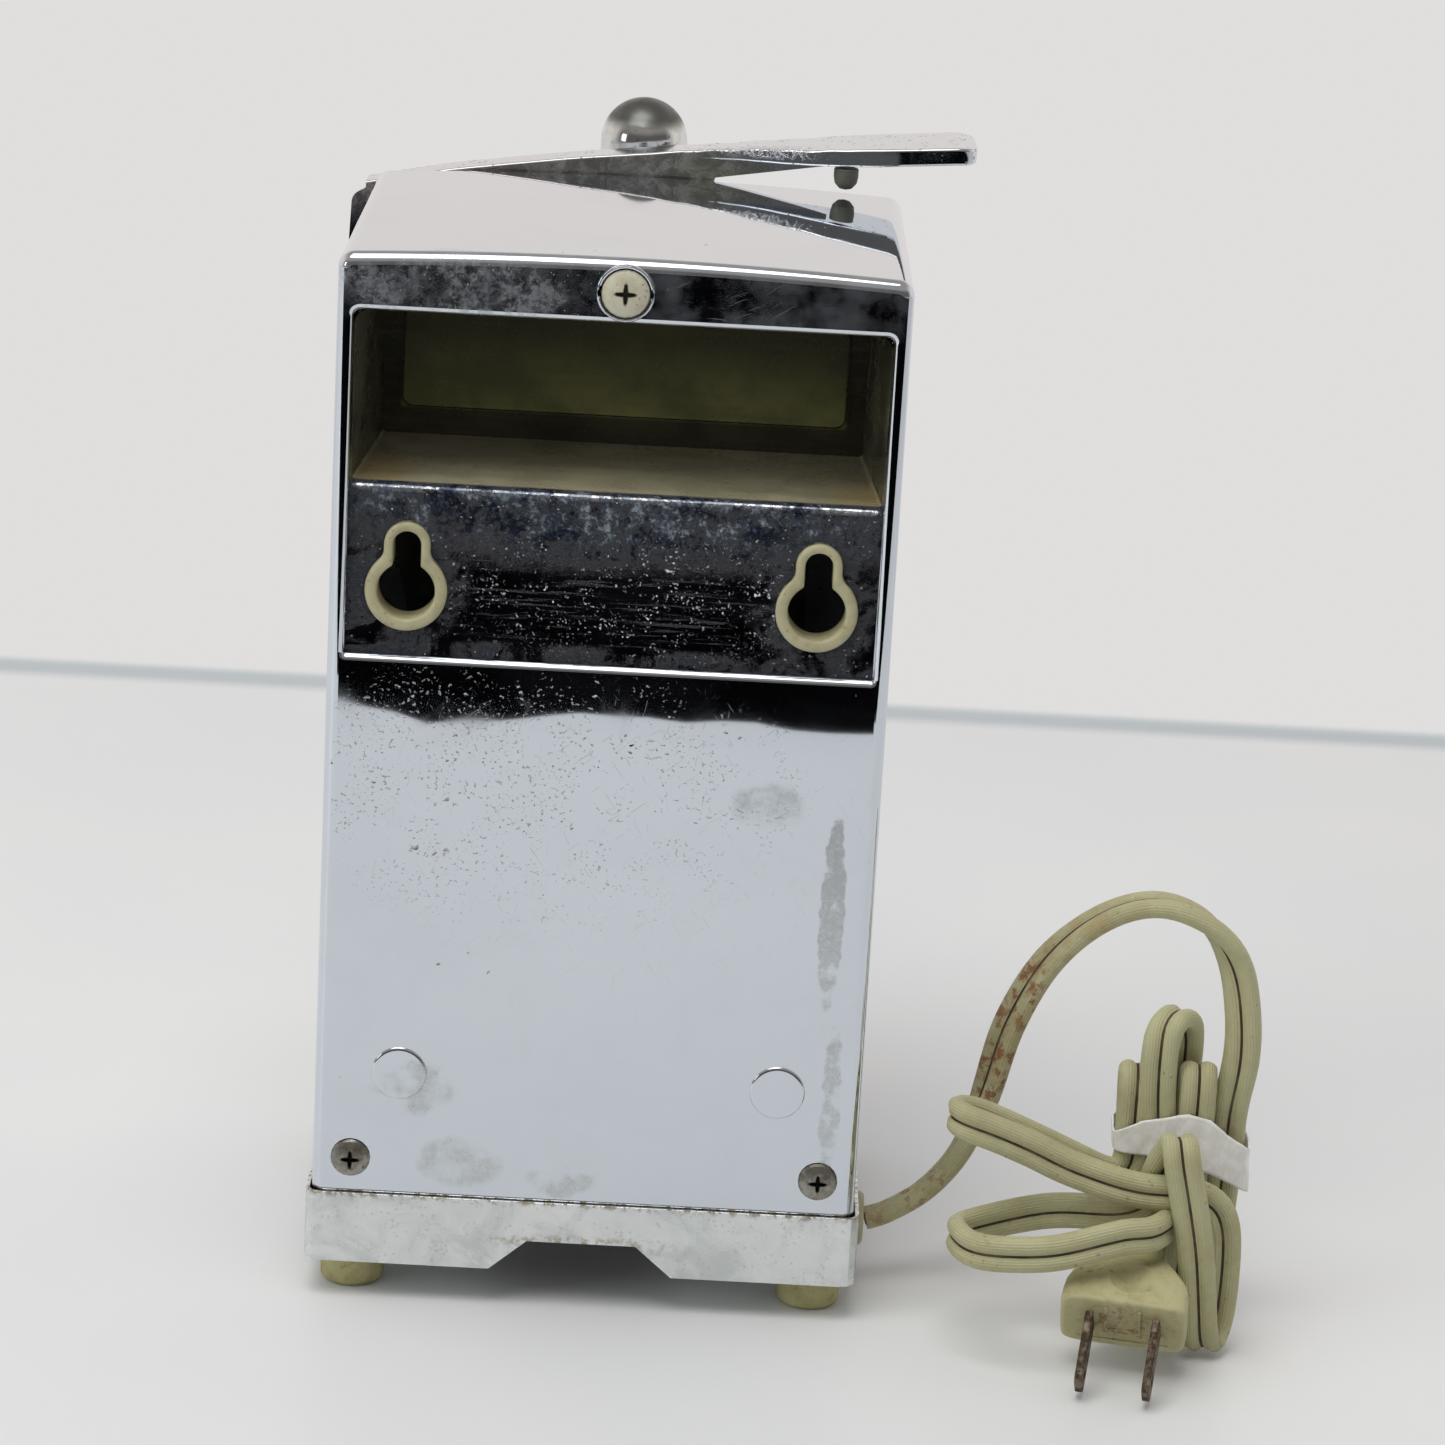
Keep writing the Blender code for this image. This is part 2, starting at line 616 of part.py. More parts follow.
def make_fan():
    x, z = ROTOR
    hub = rod(x, z, 6, 15, 22, 20)
    blades = []
    for i in range(7):
        blade = block(-3.2, 3.2, 17.9, 19.1, 5, 24)
        middle = place(0, 18.5, 15)
        bmesh.ops.rotate(blade, cent=middle, matrix=Matrix.Rotation(math.radians(28), 3, "Z"), verts=blade.verts)
        turn = Matrix.Rotation(2 * math.pi * i / 7, 3, "Y")
        bmesh.ops.rotate(blade, cent=Vector((0, 0, 0)), matrix=turn, verts=blade.verts)
        bmesh.ops.translate(blade, verts=blade.verts, vec=place(x, 0, z))
        blades.append(blade)
    solid("cooling_fan", "nylon", hub, joined=blades, cut=[rod(x, z, 2.8, 10, 30, 16)], pivot=(x, 18, z))


def meshing_phase(centre, teeth, other, other_teeth, other_phase):
    """Phase that puts a gap of this gear opposite a tooth of the other on their centre line."""
    toward = math.atan2(other[1] - centre[1], other[0] - centre[0])
    back = math.atan2(centre[1] - other[1], centre[0] - other[0])
    offset = ((back - other_phase) / (2 * math.pi / other_teeth)) % 1.0
    return toward + (0.5 + offset) * (2 * math.pi / teeth)


def make_gears():
    rotor_phase = math.atan2(FIRST[1] - ROTOR[1], FIRST[0] - ROTOR[0])
    module, pinion_teeth, teeth = ROTOR_PAIR
    phase = meshing_phase(FIRST, teeth, ROTOR, pinion_teeth, rotor_phase)
    wheel = prism(gear_outline(FIRST, module, teeth, phase), 63.0, 66.0)
    module, pinion_teeth, next_teeth = MIDDLE_PAIR
    pinion_phase = math.atan2(SECOND[1] - FIRST[1], SECOND[0] - FIRST[0])
    pinion = prism(gear_outline(FIRST, module, pinion_teeth, pinion_phase), 65.5, 72.5)
    solid("first_gear", "nylon", wheel, joined=[pinion], cut=[rod(*FIRST, 2.1, 60, 76, 16)],
          pivot=(FIRST[0], 68, FIRST[1]))
    phase = meshing_phase(SECOND, next_teeth, FIRST, pinion_teeth, pinion_phase)
    wheel = prism(gear_outline(SECOND, module, next_teeth, phase), 68.3, 71.8)
    module, pinion_teeth, teeth = DRIVE_PAIR
    pinion_phase = math.atan2(FEED[1] - SECOND[1], FEED[0] - SECOND[0])
    pinion = prism(gear_outline(SECOND, module, pinion_teeth, pinion_phase), 71.3, 79.0)
    solid("second_gear", "satin_steel", wheel, joined=[pinion], cut=[rod(*SECOND, 2.1, 60, 82, 16)],
          pivot=(SECOND[0], 72, SECOND[1]))
    phase = meshing_phase(FEED, teeth, SECOND, pinion_teeth, pinion_phase)
    wheel = prism(gear_outline(FEED, module, teeth, phase), 73.6, 78.2)
    hub = rod(*FEED, 6, 71.5, 74.5, 20)
    solid("drive_gear", "satin_steel", wheel, joined=[hub], cut=[rod(*FEED, 4.3, 60, 82, 20)],
          pivot=(FEED[0], 76, FEED[1]))
    for name, (x, z) in (("first_arbor", FIRST), ("second_arbor", SECOND)):
        solid(name, "satin_steel", rod(x, z, 1.8, GEAR_PLATE_D + 1.5 + GAP, FRAME_D - GAP, 14), pivot=(x, 70, z))


def make_feed():
    x, z = FEED
    solid("drive_shaft", "satin_steel", rod(x, z, 4.0, 70.5, 99.0, 20), pivot=(x, 85, z))
    sleeve = [(4.3, 0), (5.1, 0), (5.1, 5.0), (6.6, 5.0), (6.6, 6.6), (4.3, 6.6)]
    solid("shaft_bushing", "bronze", turned(sleeve, (x, 80.0, z), "d", 20, True), pivot=(x, 85, z))
    teeth = 24
    rim = []
    for i in range(teeth * 2):
        reach = FEED_RADIUS if i % 2 else FEED_RADIUS - 0.9
        angle = math.pi * i / teeth
        rim.append((x + reach * math.cos(angle), z + reach * math.sin(angle)))
    wheel = prism(rim, 95.3, 100.2)
    hub = turned([(0, 0), (6.2, 0), (6.2, 8.2), (0, 8.2)], (x, 87.4, z), "d", 20)
    face = rod(x, z, 5.0, 100.0, 101.2, 20)
    solid("feed_wheel", "satin_steel", wheel, joined=[hub, face], cut=[rod(x, z, 4.3, 80, 99.4, 20)],
          pivot=(x, 98, z))
    for side, name in ((1, "left"), (-1, "right")):
        post = [(0, 0), (4.0, 0), (4.0, 9.0), (3.2, 10.0), (0, 10.0)]
        spot = (side * 21.0, SHELL_DEPTH + GAP, 168.0)
        solid(f"guide_post_{name}", "chrome", turned(post, spot, "d", 20), pivot=spot)


# ---------------------------------------------------------------- lever, cutter and magnet


def lever_plate_outline():
    """Upright sheet of the lever: rounded pivot end, cutter lobe and the root of the handle."""
    top = [(-38.0, 213.9), (-15.0, 212.4), (0.3, 211.2), (13.6, 209.3), (38.0, 205.7), (52.3, 203.3), (57.2, 200.0)]
    end = [(57.6, 190.0), (52.0, 183.0), (40.0, 181.5), (24.0, 186.0)]
    lobe = arc(*CUTTER, 11.3, -30, -180, 6)
    handle_root = [(-13.5, 200.0), (-15.0, 206.9), (-38.0, 210.6)]
    return list(reversed(top)) + list(reversed(handle_root)) + list(reversed(lobe)) + list(reversed(end))


def lever_arm():
    """Folded top of the lever: a bar that widens into the flat thumb plate."""
    stations = [
        (54.5, LEVER_BACK, ARM_FRONT - 0.6, 200.6, 202.4),
        (38.0, LEVER_BACK, ARM_FRONT, 204.0, 205.8),
        (13.6, LEVER_BACK, ARM_FRONT, 207.5, 209.4),
        (-15.0, LEVER_BACK, ARM_FRONT, 210.6, 212.6),
        (-24.0, 84.6, 95.4, 210.7, 213.3),
        (-34.0, 81.6, 97.6, 211.0, 214.2),
        (-46.0, 80.2, 99.2, 211.6, 215.2),
        (-62.5, 80.0, 100.0, 212.9, 216.4),
        (-66.6, 82.0, 98.0, 213.4, 216.4),
    ]
    bm = bmesh.new()
    rings = []
    for x, back, front, low, high in stations:
        rings.append([bm.verts.new(place(x, d, z)) for d, z in ((back, low), (back, high), (front, high), (front, low))])
    for one, two in zip(rings, rings[1:]):
        for k in range(4):
            bm.faces.new((one[k], one[(k + 1) % 4], two[(k + 1) % 4], two[k]))
    bm.faces.new(rings[0])
    bm.faces.new(rings[-1])
    return bm


def make_lever():
    pivot = (PIVOT[0], LEVER_BACK, PIVOT[1])
    plate = prism(lever_plate_outline(), LEVER_BACK, LEVER_BACK + LEVER_SHEET)
    boss = rod(*CUTTER, 5.2, LEVER_BACK + 1, 100.6, 20)
    pivot_boss = rod(*PIVOT, 9.0, LEVER_BACK + 1, 91.0, 24)
    ears = [side_plate([(93.8, 206.5), (93.8, 201.5), (99.8, 201.5), (99.8, 206.5)], s * 8.6 - 0.9, s * 8.6 + 0.9)
            for s in (-1, 1)]
    lip = prism([(38.0, 200.6), (38.0, 205.0), (-12.0, 211.4), (-12.0, 204.6)], ARM_FRONT - 1.2, ARM_FRONT)
    bores = [rod(*CUTTER, 3.2, 90, 110, 16), rod(*PIVOT, 4.3, 80, 100, 20)]
    pin_bore = turned([(0, 0), (1.5, 0), (1.5, 30), (0, 30)], (-15, HINGE_D, HINGE_Z), "x", 12)
    solid("lever", "chrome", plate, joined=[lever_arm(), boss, pivot_boss, lip, *ears], cut=[*bores, pin_bore],
          pivot=pivot)
    head = [(0, 0), (7.4, 0), (7.4, 1.4), (6.0, 2.2), (0, 2.2)]
    shaft = rod(*PIVOT, 4.0, 66.0, 92.0, 20)
    solid("lever_pivot_shaft", "satin_steel", shaft, joined=[turned(head, (PIVOT[0], 91.3, PIVOT[1]), "d", 24)],
          pivot=pivot)
    sleeve = [(4.3, 0), (5.4, 0), (5.4, 5.0), (7.4, 5.0), (7.4, 5.9), (4.3, 5.9)]
    solid("lever_bushing", "bronze", turned(sleeve, (PIVOT[0], 80.0, PIVOT[1]), "d", 20, True), pivot=pivot)
    dome = [(0, 0), (1.3, 0.3), (2.2, 1.3), (2.45, 2.6), (2.45, 4.3), (0, 4.3)]
    solid("lever_bumper", "grey_rubber", turned(dome, (-40.9, 83.0, 206.5), "z", 16), pivot=pivot)
    cam = prism(rounded([(49.0, 197), (40.5, 198), (35.5, 185.6), (39.5, 185.6), (49.0, 189)], 1.8, 2), 66.5, 71.5)
    solid("switch_cam", "zinc", cam, cut=[rod(*PIVOT, 4.3, 60, 80, 20)], pivot=pivot)


def make_cutter():
    x, z = CUTTER
    bevelled = [(3.2, 0), (9.4, 0), (CUTTER_RADIUS, 1.7), (CUTTER_RADIUS, 2.0), (7.0, 2.3), (3.2, 2.3)]
    solid("cutter_wheel", "satin_steel", turned(bevelled, (x, 100.9, z), "d", 32, True), pivot=(x, 101, z))
    screw = [(0, 0), (2.8, 0), (2.8, 10.0), (4.4, 10.0), (4.4, 11.6), (3.6, 12.2), (0, 12.2)]
    slot = block(x - 6, x + 6, 104.6, 107, z - 0.6, z + 0.6)
    solid("cutter_screw", "satin_steel", turned(screw, (x, 93.6, z), "d", 20), cut=[slot], pivot=(x, 101, z))


def make_magnet():
    hinge = (0, HINGE_D, HINGE_Z)
    strap = [(HINGE_D - 2.4, HINGE_Z - 2.2), (HINGE_D + 2.0, HINGE_Z - 2.2), (HINGE_D + 2.8, 202.4),
             (MAGNET_D - 6.0, 202.4), (MAGNET_D - 6.0, 204.2), (HINGE_D + 2.8, HINGE_Z + 2.4),
             (HINGE_D - 2.4, HINGE_Z + 2.4)]
    arm = side_plate(strap, -7.2, 7.2)
    bore = turned([(0, 0), (1.5, 0), (1.5, 30), (0, 30)], (-15, HINGE_D, HINGE_Z), "x", 12)
    cup_gap = turned([(0, 0), (MAGNET_RADIUS + GAP, 0), (MAGNET_RADIUS + GAP, 40), (0, 40)],
                     (0, MAGNET_D, 190.0), "z", 28)
    solid("magnet_arm", "chrome", arm, cut=[bore, cup_gap], pivot=hinge)
    pin = turned([(0, 0), (1.2, 0), (1.2, 19.4), (0, 19.4)], (-9.7, HINGE_D, HINGE_Z), "x", 12)
    solid("magnet_pin", "satin_steel", pin, pivot=hinge)
    steps = 7
    dome = [(MAGNET_RADIUS * math.cos(math.radians(90 * i / steps)),
             DOME_Z - 190.0 + MAGNET_RADIUS * math.sin(math.radians(90 * i / steps))) for i in range(steps)]
    cup = [(0, 3.5), (7.8, 3.5), (7.8, 0), (MAGNET_RADIUS, 0)] + dome + [(0, DOME_Z - 190.0 + MAGNET_RADIUS)]
    solid("magnet_cup", "chrome", turned(cup, (0, MAGNET_D, 190.0), "z", 28), pivot=hinge)
    disc = [(0, 0), (7.0, 0), (7.4, 0.5), (7.4, 3.6), (0, 3.6)]
    solid("lid_magnet", "magnet", turned(disc, (0, MAGNET_D, 189.6), "z", 24), pivot=hinge)


# ---------------------------------------------------------------- electrics and cord


def make_switch():
    x, depth = SWITCH
    body = block(x - 8, x + 8, depth - 7, depth + 7, 164, 180)
    bore = turned([(0, 0), (2.3, 0), (2.3, 12), (0, 12)], (x, depth, 173.5), "z", 14)
    terminals = [block(x + s * 4.5 - 1.5, x + s * 4.5 + 1.5, depth - 1, depth, 158, 165) for s in (-1, 1)]
    solid("switch_body", "black_plastic", body, joined=terminals, cut=[bore], pivot=(x, depth, 172))
    plunger = turned([(0, 0), (2.0, 0), (2.0, 8.4), (1.2, 9.2), (0, 9.2)], (x, depth, 176.0), "z", 14)
    solid("switch_plunger", "cream_plastic", plunger, pivot=(x, depth, 176))


def make_strain_relief():
    x = -PAN_HALF
    profile = [(3.55, 22), (4.0, 22), (4.0, 1.3), (5.4, 1.3), (5.4, 0.6), (4.8, 0), (3.55, 0)]
    grommet = turned(profile, (x - 1.6, EXIT_D, EXIT_Z), "x", 16, True)
    solid("strain_relief", "cream_plastic", grommet, pivot=(x, EXIT_D, EXIT_Z))


def make_cord():
    solid_radius = CORD_WIDTH / 2
    cord_tube("cord_lead", "cord", ARCH, solid_radius)
    hank = [(-104.0, 0.4), (-124.0, 0.4), (-127.6, 4.0), (-129.0, 44.0), (-128.6, 51.6), (-121.4, 51.6), (-121.2, 56.6),
            (-117.6, 57.0), (-116.6, 66.0), (-112.6, 68.6), (-108.6, 66.0), (-107.6, 55.6), (-102.6, 54.6),
            (-101.4, 44.0), (-101.6, 4.0)]
    solid("cord_hank", "cord", prism(rounded(hank, 1.0, 1), HANK_FRONT, HANK_BACK))
    wide = rounded([(-100.2, HANK_FRONT - 1.2), (-130.2, HANK_FRONT - 1.2), (-130.2, HANK_BACK + 1.2),
                    (-100.2, HANK_BACK + 1.2)], 1.2, 2)
    hole = [(-101.0, HANK_FRONT - 0.4), (-129.4, HANK_FRONT - 0.4), (-129.4, HANK_BACK + 0.4),
            (-101.0, HANK_BACK + 0.4)]
    solid("cord_tie", "tie", slab(wide, 34.5, 44.5), cut=[slab(hole, 30, 50)])
    fold = [(-112.8, 48.4), (-108.8, 46.6), (-111.4, 30.0), (-115.7, 26.0), (-116.6, 3.4), (-119.4, 0.4),
            (-124.6, 0.4), (-127.0, 3.0), (-127.2, 36.0), (-122.4, 41.0), (-116.4, 44.0), (-115.6, 47.4)]
    solid("cord_front_fold", "cord", prism(rounded(fold, 1.0, 1), -9.5, -2.6))
    cord_tube("cord_upper_bight", "cord", UPPER_BIGHT, solid_radius)
    cord_tube("cord_lower_loop", "cord", LOWER_LOOP, solid_radius)
    cord_tube("cord_plug_lead", "cord", PLUG_LEAD, solid_radius * 0.8)


def plug_matrix(origin, pitch):
    """Plug frame: local +x along its width, +y out of its blade face, +z out of its thumb side."""
    yaw = Matrix.Rotation(math.radians(-PLUG_YAW), 4, "Z")
    tip = Matrix.Rotation(math.radians(-pitch), 4, "X")
    return Matrix.Translation(place(*origin)) @ yaw @ tip


def make_plug():
    """Moulded plug: wide at its blade face, tapering to the cord, with a thumb hollow on top."""
    body = bmesh.new()
    rings = []
    for y, half, thick in PLUG_SECTIONS:
        section = rounded(rectangle(-half, half, -thick, thick), min(2.0, thick * 0.6), 2)
        rings.append([body.verts.new(Vector((x, y, z)) * MM) for x, z in section])
    for one, two in zip(rings, rings[1:]):
        for k in range(len(one)):
            j = (k + 1) % len(one)
            body.faces.new((one[k], one[j], two[j], two[k]))
    body.faces.new(rings[0])
    body.faces.new(rings[-1])
    hollow = bmesh.new()
    bmesh.ops.create_uvsphere(hollow, u_segments=20, v_segments=12, radius=9.0 * MM)
    bmesh.ops.translate(hollow, verts=hollow.verts, vec=Vector((0, -9.0, 14.2)) * MM)
    for bm in (body, hollow):
        bmesh.ops.transform(bm, matrix=plug_matrix(PLUG_FACE, PLUG_PITCH), verts=bm.verts)
    solid("plug_body", "cord", body, cut=[hollow], pivot=PLUG_FACE)
    for side, name in ((1, "left"), (-1, "right")):
        blade = bmesh.new()
        bmesh.ops.create_cube(blade, size=1.0)
        bmesh.ops.scale(blade, vec=Vector(BLADE) * MM, verts=blade.verts)
        bmesh.ops.translate(blade, verts=blade.verts, vec=Vector((side * BLADE_SPACING / 2, BLADE_CENTRE, 0)) * MM)
        bmesh.ops.transform(blade, matrix=plug_matrix(BLADE_ROOT, BLADE_PITCH), verts=blade.verts)
        solid(f"plug_blade_{name}", "brass", blade)


def main():
    clear_scene()
    root = bpy.data.objects.new("can_opener", None)
    root.location = place(-MIDDLE_X, -MIDDLE_D, 0)
    bpy.context.scene.collection.objects.link(root)
    make_rear_shell()
    make_hand_pocket()
    make_keyhole_bushes()
    make_housing_screws()
    make_front_panel()
    make_base_pan()
    make_feet()
    make_frames()
    make_motor()
    make_gears()
    make_feed()
    make_lever()
    make_cutter()
    make_magnet()
    make_switch()
    make_strain_relief()
    make_cord()
    make_plug()


main()
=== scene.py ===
"""Looks of the electric can opener: its chrome, plastics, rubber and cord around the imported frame.

Body frame used below, as in the CAD source: x to the right seen from the front, d the depth from
the back face towards the front, z up from the table, all in millimetres. place() turns it into
the row frame.
"""

import json
import math

import bmesh
import bpy
from mathutils import Matrix, Vector


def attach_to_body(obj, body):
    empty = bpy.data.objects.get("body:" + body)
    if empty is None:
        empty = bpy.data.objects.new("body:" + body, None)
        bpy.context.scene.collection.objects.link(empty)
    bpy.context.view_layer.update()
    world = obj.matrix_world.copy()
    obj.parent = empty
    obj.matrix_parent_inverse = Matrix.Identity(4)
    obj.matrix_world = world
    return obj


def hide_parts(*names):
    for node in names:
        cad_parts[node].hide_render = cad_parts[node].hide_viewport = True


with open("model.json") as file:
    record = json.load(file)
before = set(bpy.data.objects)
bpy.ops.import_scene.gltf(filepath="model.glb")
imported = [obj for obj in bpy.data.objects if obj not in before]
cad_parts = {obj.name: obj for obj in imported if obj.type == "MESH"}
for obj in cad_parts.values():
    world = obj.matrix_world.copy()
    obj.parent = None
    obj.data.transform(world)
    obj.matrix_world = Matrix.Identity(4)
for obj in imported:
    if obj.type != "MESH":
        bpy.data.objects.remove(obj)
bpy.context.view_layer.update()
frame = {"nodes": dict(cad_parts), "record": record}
NODES = frame["nodes"]

MM = 0.001
MIDDLE_X = -4.5
MIDDLE_D = 61.56

# Housing, as in the CAD
HALF_WIDTH = 52.4
SHELL_TOP = 206.5
SHELL_BOTTOM = 17.6
SHELL_DEPTH = 84.7
SHELL_WALL = 1.2
BEND = 2.4
CORNER = 3.1
CROWN_RADIUS = 860.0
RECESS_HALF = 49.6
RECESS_LOW = 129.0
RECESS_HIGH = 194.9
RECESS_DEPTH = 1.7
POCKET_LOW = 162.5
POCKET_HIGH = 194.5
POCKET_DEPTH = 37.0
POCKET_HALF = 49.2
POCKET_BACK_HALF = 46.1
TOP_SCREW_Z = 200.4
LOWER_SCREW_X = 45.0
LOWER_SCREW_Z = 28.8
KEYHOLE_X = 38.1
KEYHOLE_LOW_Z = 141.9
KEYHOLE_HIGH_Z = 150.7
PAD_X = 36.2
PAD_Z = 46.6
PAD_RADIUS = 5.3
SIDES = ((1, "left"), (-1, "right"))

BUSH_FACE = 0.3
SLOT_HALF = 2.6
KEYHOLE_RADIUS = 5.4

# Lever and magnet, as in the CAD
LEVER_BACK = 86.3
LEVER_SHEET = 2.0
ARM_FRONT = 94.3
PIVOT = (44.0, 193.0)
CUTTER = (0.0, 190.5)
HINGE_D = 98.0
HINGE_Z = 204.0
MAGNET_D = 116.5
MAGNET_RADIUS = 8.9
DOME_Z = 208.4
CUP_Z = 190.0

# Cord: flat twin cord
CORE_RADIUS = 1.88
CORE_SPACING = 1.72
CORD_STEP = 1.3
VALLEY_HALF = 0.27
EXIT = (-55.5, 20.0, 13.2)
# Fine ribs round the cord, counted over its whole section
RIBS = 34


def place(x, d, z):
    return Vector((x - MIDDLE_X, MIDDLE_D - d, z)) * MM


# ---------------------------------------------------------------- camera


# Camera: its place in mm of the row frame, its small turn, its roll, and its lens in mm
CAMERA_PLACE = (-10.9, 859.56, 364.0)
PITCH = math.radians(17)
YAW = 0.00803
ROLL_COS, ROLL_SIN = 0.9984, 0.0558
LENS, SENSOR = 111.5, 36.0


def make_camera():
    """A long lens behind the machine, looking 17 degrees down, rolled by about 3 degrees."""
    forward = Vector((-YAW * math.cos(PITCH), -math.cos(PITCH), -math.sin(PITCH))).normalized()
    right = Vector((-1.0, YAW, 0.0)).normalized()
    up = (-forward).cross(right)
    across = ROLL_COS * right + ROLL_SIN * up
    upward = ROLL_COS * up - ROLL_SIN * right
    turn = Matrix((across, upward, -forward)).transposed()
    lens = bpy.data.cameras.new("camera")
    lens.lens = LENS
    lens.sensor_width = SENSOR
    camera = bpy.data.objects.new("camera", lens)
    camera.matrix_world = Matrix.Translation(Vector(CAMERA_PLACE) * MM) @ turn.to_4x4()
    bpy.context.scene.collection.objects.link(camera)
    bpy.context.scene.camera = camera


# ---------------------------------------------------------------- node materials


class Field:
    """One output of a node tree, with arithmetic: *, +, number - field, and | for the larger of two."""

    def __init__(self, tree, socket):
        self.tree = tree
        self.socket = socket

    def __mul__(self, other):
        return self.tree.math("MULTIPLY", self, other)

    def __add__(self, other):
        return self.tree.math("ADD", self, other)

    def __rsub__(self, other):
        return self.tree.math("SUBTRACT", other, self)

    def __or__(self, other):
        return self.tree.math("MAXIMUM", self, other)

    __rmul__, __radd__ = __mul__, __add__


class Tree:
    """Adds nodes to a shader node tree."""

    def __init__(self, tree):
        self.nodes = tree.nodes
        self.links = tree.links

    def put(self, socket, value):
        """Links a field, or sets a plain value; a colour is three numbers."""
        if isinstance(value, Field):
            self.links.new(value.socket, socket)
        elif socket.type == "RGBA":
            socket.default_value = (*value, 1.0)
        else:
            socket.default_value = value

    def node(self, kind, output, inputs, **settings):
        """Makes a node and gives one of its outputs."""
        node = self.nodes.new("ShaderNode" + kind)
        for name, value in settings.items():
            setattr(node, name, value)
        for name, value in inputs.items():
            self.put(node.inputs[name], value)
        return Field(self, node.outputs[output])

    def part(self, vector, axis):
        return self.node("SeparateXYZ", axis, {0: vector})

    def ramp(self, value, low, high, out_low=0.0, out_high=1.0):
        """value between low and high, mapped smoothly to out_low and out_high and clamped."""
        inputs = {"Value": value, "From Min": low, "From Max": high, "To Min": out_low, "To Max": out_high}
        return self.node("MapRange", "Result", inputs, interpolation_type="SMOOTHSTEP")

    def math(self, operation, one, two=0.0):
        return self.node("Math", 0, {0: one, 1: two}, operation=operation)

    def mix(self, share, one, two):
        """Colour one where share is 0, two where it is 1."""
        return self.node("Mix", 2, {"Factor": share, 6: one, 7: two}, data_type="RGBA")

    def layers(self, base, *coats):
        """The base colour under coats of (share, colour)."""
        for share, colour in coats:
            base = self.mix(share, base, colour)
        return base


class Look(Tree):
    """A procedural material: a Principled shader and the nodes that feed it.

    Every coordinate is the piece's own, in millimetres of the row frame. Sizes are in millimetres too.
    """

    def __init__(self, name, **sockets):
        self.material = bpy.data.materials.new(name)
        self.material.use_nodes = True
        super().__init__(self.material.node_tree)
        self.shader = self.nodes["Principled BSDF"]
        for socket, value in sockets.items():
            self.shader.inputs[socket.replace("_", " ")].default_value = value
        coords = self.node("TexCoord", "Object", {})
        self.place = self.node("VectorMath", 0, {0: coords, "Scale": 1 / MM}, operation="SCALE")

    def made(self, colour, rough, normal=None, metal=None):
        """Feeds the shader, and gives the material."""
        values = {"Base Color": colour, "Roughness": rough, "Normal": normal, "Metallic": metal}
        for socket, value in values.items():
            if value is not None:
                self.put(self.shader.inputs[socket], value)
        return self.material

    def axis(self, name):
        return self.part(self.place, name)

    def normal_axis(self, name):
        return self.part(self.node("TexCoord", "Normal", {}), name)

    def stretched(self, x, y, z):
        return self.node("Mapping", "Vector", {"Vector": self.place, "Scale": (x, y, z)})

    def noise(self, size, detail=3.0, roughness=0.55, distortion=0.0, where=None, output="Fac"):
        """Soft noise with features about that size."""
        inputs = {"Vector": where or self.place, "Scale": 1.0 / size, "Detail": detail, "Roughness": roughness,
                  "Distortion": distortion}
        return self.node("TexNoise", output, inputs)

    def warped(self, size, reach):
        """The coordinates pushed about by noise of that size, by up to about reach mm."""
        push = self.noise(size, 2.0, 0.5, output="Color")
        return self.node("VectorMath", 0, {0: push, 1: (reach,) * 3, 2: self.place}, operation="MULTIPLY_ADD")

    def near(self, point, radii, soft=0.35):
        """1 inside an ellipsoid round a body-frame point, fading out at its edge."""
        offset = self.node("VectorMath", 0, {0: self.place, 1: place(*point) / MM}, operation="SUBTRACT")
        shrunk = self.node("VectorMath", 0, {0: offset, 1: radii}, operation="DIVIDE")
        length = self.node("VectorMath", "Value", {0: shrunk}, operation="LENGTH")
        return self.ramp(length, 1.0 + soft, 1.0 - soft)

    def star(self, x, z, arm, width):
        """A four-pointed star on the back face: painted shade in a screw's cross recess."""
        return self.near((x, 0, z), (arm, 6, width), 0.2) | self.near((x, 0, z), (width, 6, arm), 0.2)

    def blotch(self, point, radii, size, threshold, soft):
        """A ragged patch: noise of that size cut off inside an ellipsoid."""
        field = self.noise(size, 4.0) + self.ramp(self.near(point, radii, 0.5), 0, 1, -0.5, 0)
        return self.ramp(field, threshold - soft, threshold + soft)

    def specks(self, size, amount, kept_size=2.6, kept=0.50):
        """Small scattered spots of irregular outline: the middles of some cells."""
        inputs = {"Vector": self.warped(size * 0.3, size * 0.45), "Scale": 1.0 / size}
        spots = self.ramp(self.node("TexVoronoi", "Distance", inputs), amount, amount * 0.5)
        return spots * self.ramp(self.noise(size * kept_size, 2.0), kept, kept + 0.07)

    def dust(self, size, least):
        """Tiny ragged flecks: the peaks of a noise."""
        return self.ramp(self.noise(size, 3.0, 0.6), least, least + 0.05)

    def scratches(self, length, thickness, angle, share):
        """Fine, slightly curved lines in one direction across the back face."""
        inputs = {"Vector": self.warped(14.0, 2.4), "Rotation": (0, math.radians(angle), 0),
                  "Scale": (length, length, thickness)}
        lines = self.node("Mapping", "Vector", inputs, vector_type="TEXTURE")
        return self.ramp(self.noise(1.0, 1.0, 0.5, where=lines), share, share + 0.03)

    def bump(self, height, depth, normal=None):
        """height 0 to 1 becomes a relief about depth mm deep, on top of another relief if one is given."""
        inputs = {"Height": height, "Distance": depth * MM, "Strength": 1.0}
        if normal is not None:
            inputs["Normal"] = normal
        return self.node("Bump", "Normal", inputs)


CHROME = (0.70, 0.745, 0.80)
GRIME = (0.16, 0.14, 0.10)


